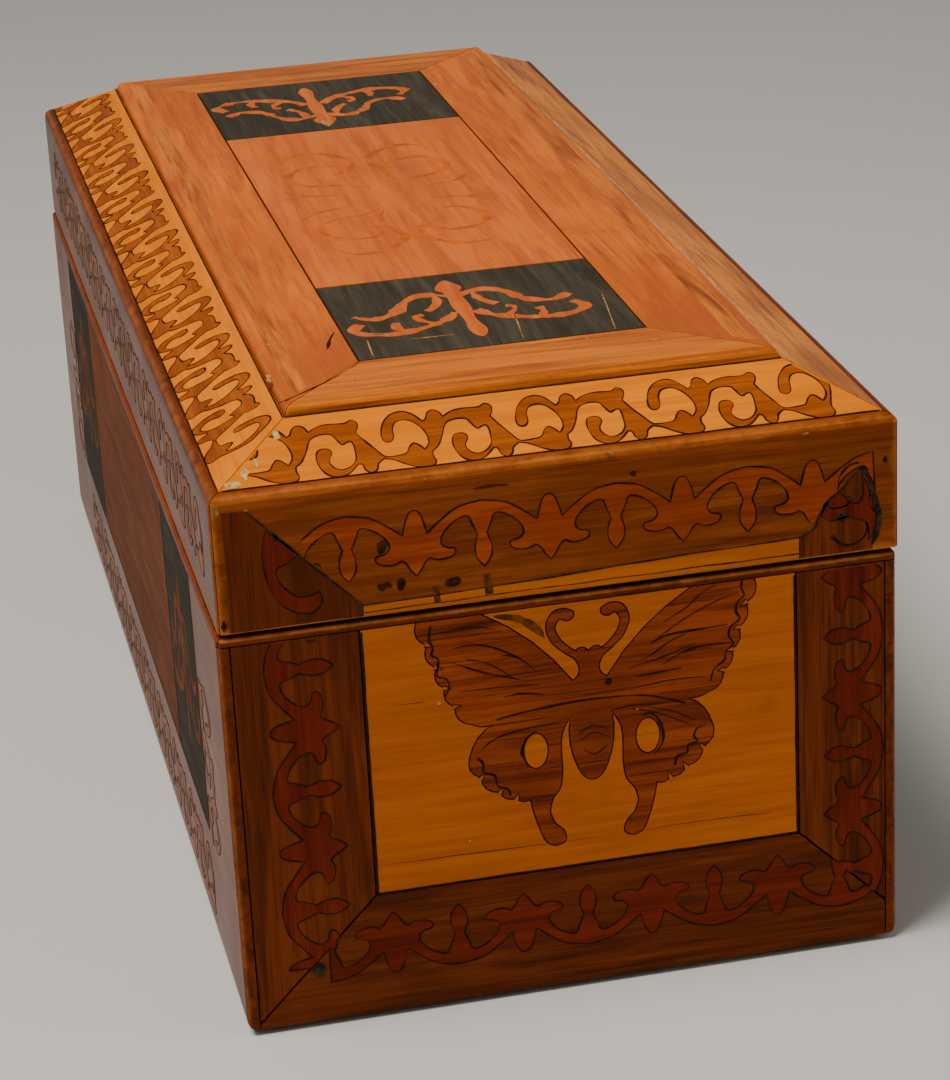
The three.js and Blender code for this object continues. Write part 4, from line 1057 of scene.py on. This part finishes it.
def arabesque(figure, face, place):
    """The spine, and the arms on both sides of it, each at its own height where they cross."""
    figure.plate(face, moved(curve(ARABESQUE_SPINE, closed=True), place))
    height = FILL
    for half_width, points in ARABESQUE_ARMS:
        for side in (1, -1):
            height += ARM_STEP
            arm = curve(tuple((side * u, v) for u, v in points))
            figure.line(face, moved(arm, place), half_width, height, waver=0.4)


def cartouche_arabesques():
    """The arabesque in each black cartouche, its foot towards the nearer end of the box."""
    red = wood("arabesque_wood", "arabesque", "y", 61)
    for seed, node, turn in ((21, "cartouche_near", 1), (22, "cartouche_far", -1)):
        middle = (low(node).y + high(node).y) / 2
        figure = Veneer(node + "_arabesque", red, "lid", seed)
        arabesque(figure, TOP, lambda u, v: (SPINE_X + u, middle + turn * v))
        figure.finish()


def field_drawing():
    """The faded scrollwork of the middle field, one quarter drawn and mirrored."""
    faded = paste("faded_ink", (0.34, 0.065, 0.006), (0.51, 0.105, 0.0075), 160.0, 0.45)
    field = Veneer("field_drawing", faded, "lid", 23)
    for side in (1, -1):
        for end in (1, -1):
            for points in FIELD_STROKES:
                stroke = [(FIELD_X + side * u, end * v) for u, v in points]
                field.line(TOP, curve(stroke), 1.0, GROUND, taper=True, waver=0.8)
    field.finish()


def nosing_bands():
    """The amber band along the outer edge of each long border."""
    nosing = Veneer("top_nosing_band", wood("nosing_amber", "border amber", "y", 62), "lid", 26)
    edges = low("top_border_front").x + NOSING_INSET, high("top_border_back").x - NOSING_INSET
    end = abs(low("top_border_near").y) - NOSING_END
    for outer, width in zip(edges, NOSING_WIDTHS):
        inner, inner_end = outer + width, end - NOSING_MITRE
        band = [(outer, -end), (inner, -inner_end), (inner, inner_end), (outer, end)]
        nosing.plate(TOP, outline_of(band), GROUND)
    nosing.finish()


def top_marks():
    """Cracks and pale chips in the top, and the open joints beside the field."""
    marks("cartouche_cracks", bare_chip(), "lid", 24, TOP, OVERLAY, CRACKS, TOP_CHIPS)
    joints = Veneer("top_joints", saw_dirt(), "lid", 25)
    corner = low("cartouche_near")
    for x, half_width, waver in (
        (corner.x - 0.25, 0.15, 0.08), (high("cartouche_near").x + 0.25, 0.09, 0.05),
    ):
        joints.line(TOP, straight([(x, corner.y), (x, -corner.y)]), half_width, GROUND, waver=waver)
    gash = ((-38.6, -114.8), (-37.2, -109), (-35, -103.5))
    mitre = ((-55, -146.5), (-43, -136.5), (corner.x, corner.y - 1))
    for points, half_width in ((gash, 0.4), (mitre, 0.35)):
        joints.line(TOP, curve(points), half_width, GROUND, taper=True)
    joints.finish()


# ---- long sides and far end

FRAME_FOOT = 6.5
END_STRIP = 127.0  # from the box's middle to the foot of the scrolls at its ends
CARTOUCHE_SPAN = (77.0, 125.5)
CARTOUCHE_MIDDLE = 62
CARTOUCHE_INSET = 0.4
SIDE_ARABESQUE_SHARE = 0.8
SIDE_PANEL_BOTTOM = 30.0
BAND_SCROLL_FOOT = 103.0
SCROLL_SHIFT = 3
SIDE_KERF = 0.25


@cache
def side_woods():
    """The woods of both long sides: tan along and up the board, black and red."""
    return (
        wood("tan_along", "tan inlay", "y", 71), wood("tan_up", "tan inlay", "z", 72),
        wood("side_dark", "side black", "y", 73), wood("side_red", "side red", "y", 74),
    )


def side_panels(name, face, body, seed, top):
    """The red field of a long side, and its two black cartouches with arabesques."""
    dark, red = side_woods()[2:]
    field = Veneer(name + "_red_field", red, body, seed)
    field.plate(face, rectangle(-CARTOUCHE_SPAN[0], SIDE_PANEL_BOTTOM, CARTOUCHE_SPAN[0], top), GROUND)
    field.finish()
    cartouches = Veneer(name + "_cartouches", dark, body, seed + 1)
    figures = Veneer(name + "_arabesques", red, body, seed + 2)
    for side in (-1, 1):
        left, right = sorted(side * edge for edge in CARTOUCHE_SPAN)
        outline = rectangle(left + CARTOUCHE_INSET, SIDE_PANEL_BOTTOM, right - CARTOUCHE_INSET, top)
        cartouches.plate(face, outline, GROUND)
        middle = (left + right) / 2
        arabesque(figures, face, lambda u, v: (middle + u * SIDE_ARABESQUE_SHARE, CARTOUCHE_MIDDLE + v))
    cartouches.finish()
    figures.finish()


def long_side(name, face, lid_face, body, seed):
    """A long side: tan scrolls along its foot, its ends and the lid's band, round dark and red panels."""
    tan, tan_up = side_woods()[:2]
    top = high("front_slide_board").z - JOINT
    side_panels(name, face, body, seed, top)
    pieces = inlay(name + "_scroll", name + "_kerf", tan, body, seed + 3)
    lay(face, scroll(-5, 8), lambda u, v: (u + SCROLL_SHIFT, FRAME_FOOT + v), *pieces)
    for end in (-1, 1):
        lay(face, scroll(0, 1), lambda u, v: (end * (END_STRIP + v), u + 7), *pieces)
    foot = SIDE_PANEL_BOTTOM
    outer = CARTOUCHE_SPAN[1]
    pieces[1].line(face, straight([(-outer, foot), (outer, foot)]), SIDE_KERF)
    for u in (*CARTOUCHE_SPAN, *(-u for u in CARTOUCHE_SPAN)):
        pieces[1].line(face, straight([(u, foot), (u, top)]), SIDE_KERF)
    close(pieces)
    band = inlay(name + "_band_scroll", name + "_band_kerf", tan_up, "lid", seed + 4)
    lay(lid_face, scroll(-6, 10), lambda u, v: (u + SCROLL_SHIFT, BAND_SCROLL_FOOT + v), *band)
    close(band)


def far_end():
    """The far end: the near end's garlands round a plain pale panel."""
    red = wood("far_red", "red inlay", "x", 81)
    outline = rectangle(-PANEL_RIGHT, PANEL_BOTTOM, -PANEL_LEFT, high("far_facing").z - JOINT)
    panel = Veneer("far_panel", wood("far_maple", "maple", "x", 82), "case", 83)
    panel.plate(FAR, outline, GROUND)
    panel.finish()
    pieces = inlay("far_garland", "far_garland_kerf", red, "case", 84)
    lay(FAR, garland(-3, 4), lambda u, v: (u - 4, RAIL_CREST - v), *pieces)
    pieces[1].line(FAR, outline, 0.3, closed=True)
    close(pieces)
    pieces = inlay("lid_far_garland", "lid_far_garland_kerf", red, "lid", 85)
    lay(FAR, garland(-4, 4), lambda u, v: (u, LID_FOOT + v), *pieces)
    close(pieces)


# Old glue at the lid's near left corner, from the bevel's own corner.
GLUE_SPOTS = ((3.6, 1.6, 1.7, 1.0), (6.6, 4.6, 0.9, 1.9), (9.5, 7.4, 0.6, 1.2), (15, 14.5, 0.7, 1.4))
PALE_LINE = CLIMB - 2.4


def corner_marks():
    """Old glue at the near left corner of the lid, and the pale line along the plain bevel."""
    glue = paste("old_glue_and_pale_line", (0.34, 0.17, 0.045), (0.56, 0.37, 0.16), 500.0, 0.4)
    marks = Veneer("corner_glue_and_pale_line", glue, "lid", 27)
    left = LID_LEFT_X + EDGE
    blots(marks, BEVEL_NEAR, STAIN_TOP, [(left + u, *rest) for u, *rest in GLUE_SPOTS])
    end = FAR_Y - EDGE - CLIMB_RUN
    # A pale line along the right bevel, just below the top's border, in the glue's colour.
    marks.line(BEVEL_RIGHT, straight([(-end, PALE_LINE), (end, PALE_LINE)]), 0.22, waver=0.3)
    marks.finish()


# ---- studio

FLOOR_REACH = 6.0
FLOOR_TONES = ((0.50, 0.50, 0.50, 1.0), (0.55, 0.55, 0.545, 1.0))
FLOOR_ROUGHNESS = 0.85


def make_floor():
    """A plain pale floor."""
    floor = bpy.data.meshes.new("floor")
    corners = [(FLOOR_REACH * x, FLOOR_REACH * y, 0) for x, y in ((-1, -1), (1, -1), (1, 1), (-1, 1))]
    floor.from_pydata(corners, [], [range(len(corners))])
    graph = Graph("pale_floor")
    cloud = graph.noise(graph.place, 3.0, 4.0)
    graph.feed(graph.shader.inputs["Base Color"], graph.mix(cloud, *FLOOR_TONES))
    graph.shader.inputs["Roughness"].default_value = FLOOR_ROUGHNESS
    floor.materials.append(graph.material)
    linked("floor", floor)


def soft_light(name, place, target, size, watts, colour):
    """A square soft light aimed at a point."""
    lamp = bpy.data.lights.new(name, "AREA")
    lamp.size = size
    lamp.energy = watts
    lamp.color = colour
    piece = linked(name, lamp)
    piece.location = place
    piece.rotation_euler = (Vector(target) - Vector(place)).to_track_quat("-Z", "Y").to_euler()


# Each lamp: its name, where it stands and what it is aimed at (metres), its side, its watts and its colour.
LAMPS = (
    ("key_light", (-0.50, -0.30, 1.30), (0, -0.03, 0.08), 0.6, 26.0, (1.0, 0.91, 0.80)),
    ("side_light", (1.2, -0.7, 0.7), (0, 0, 0.08), 0.8, 5.0, (1.0, 0.90, 0.78)),
)
SURROUNDINGS = (1.0, 0.97, 0.93, 1.0)
SURROUNDINGS_STRENGTH = 0.20


def make_lights():
    """A soft key light from the upper left, a weak light from the right and even pale surroundings."""
    for lamp in LAMPS:
        soft_light(*lamp)
    world = bpy.data.worlds.new("surroundings")
    world.use_nodes = True
    background = world.node_tree.nodes["Background"]
    background.inputs["Color"].default_value = SURROUNDINGS
    background.inputs["Strength"].default_value = SURROUNDINGS_STRENGTH
    bpy.context.scene.world = world


# The camera: where it stands (metres), where it looks (degrees) and its lens.
CAMERA_PLACE = (-0.147645, -0.8066, 0.373695)
CAMERA_AZIMUTH = -11.4496
CAMERA_ELEVATION = 22.0038
CAMERA_ROLL = 2.9723
SENSOR = 36.0
LENS_PER_SENSOR = 3.0789


def make_camera():
    """The photo's own viewpoint."""
    camera = bpy.data.cameras.new("camera")
    camera.sensor_fit = "AUTO"
    camera.sensor_width = SENSOR
    camera.lens = LENS_PER_SENSOR * SENSOR
    camera.clip_start, camera.clip_end = 0.01, 100.0
    azimuth, elevation = math.radians(CAMERA_AZIMUTH), math.radians(CAMERA_ELEVATION)
    level = math.cos(elevation)
    back = Vector((math.sin(azimuth) * level, -math.cos(azimuth) * level, math.sin(elevation)))
    right = Vector((0, 0, 1)).cross(back).normalized()
    up = back.cross(right)
    turn = Matrix((right, up, back)).transposed() @ Matrix.Rotation(-math.radians(CAMERA_ROLL), 3, "Z")
    piece = linked("camera", camera)
    piece.matrix_world = Matrix.Translation(CAMERA_PLACE) @ turn.to_4x4()
    bpy.context.scene.camera = piece


finish_boards()
bevel_scrolls()
near_end_garlands()
wing_notches()
butterfly_lines()
panel_marks()
lid_strip_and_feet()
lid_crescents()
lid_joints()
lid_stains()
cartouche_arabesques()
field_drawing()
nosing_bands()
top_marks()
long_side("left", LEFT, LID_LEFT, "front_slide", 91)
long_side("right", RIGHT, LID_RIGHT, "case", 96)
far_end()
corner_marks()
make_floor()
make_lights()
make_camera()
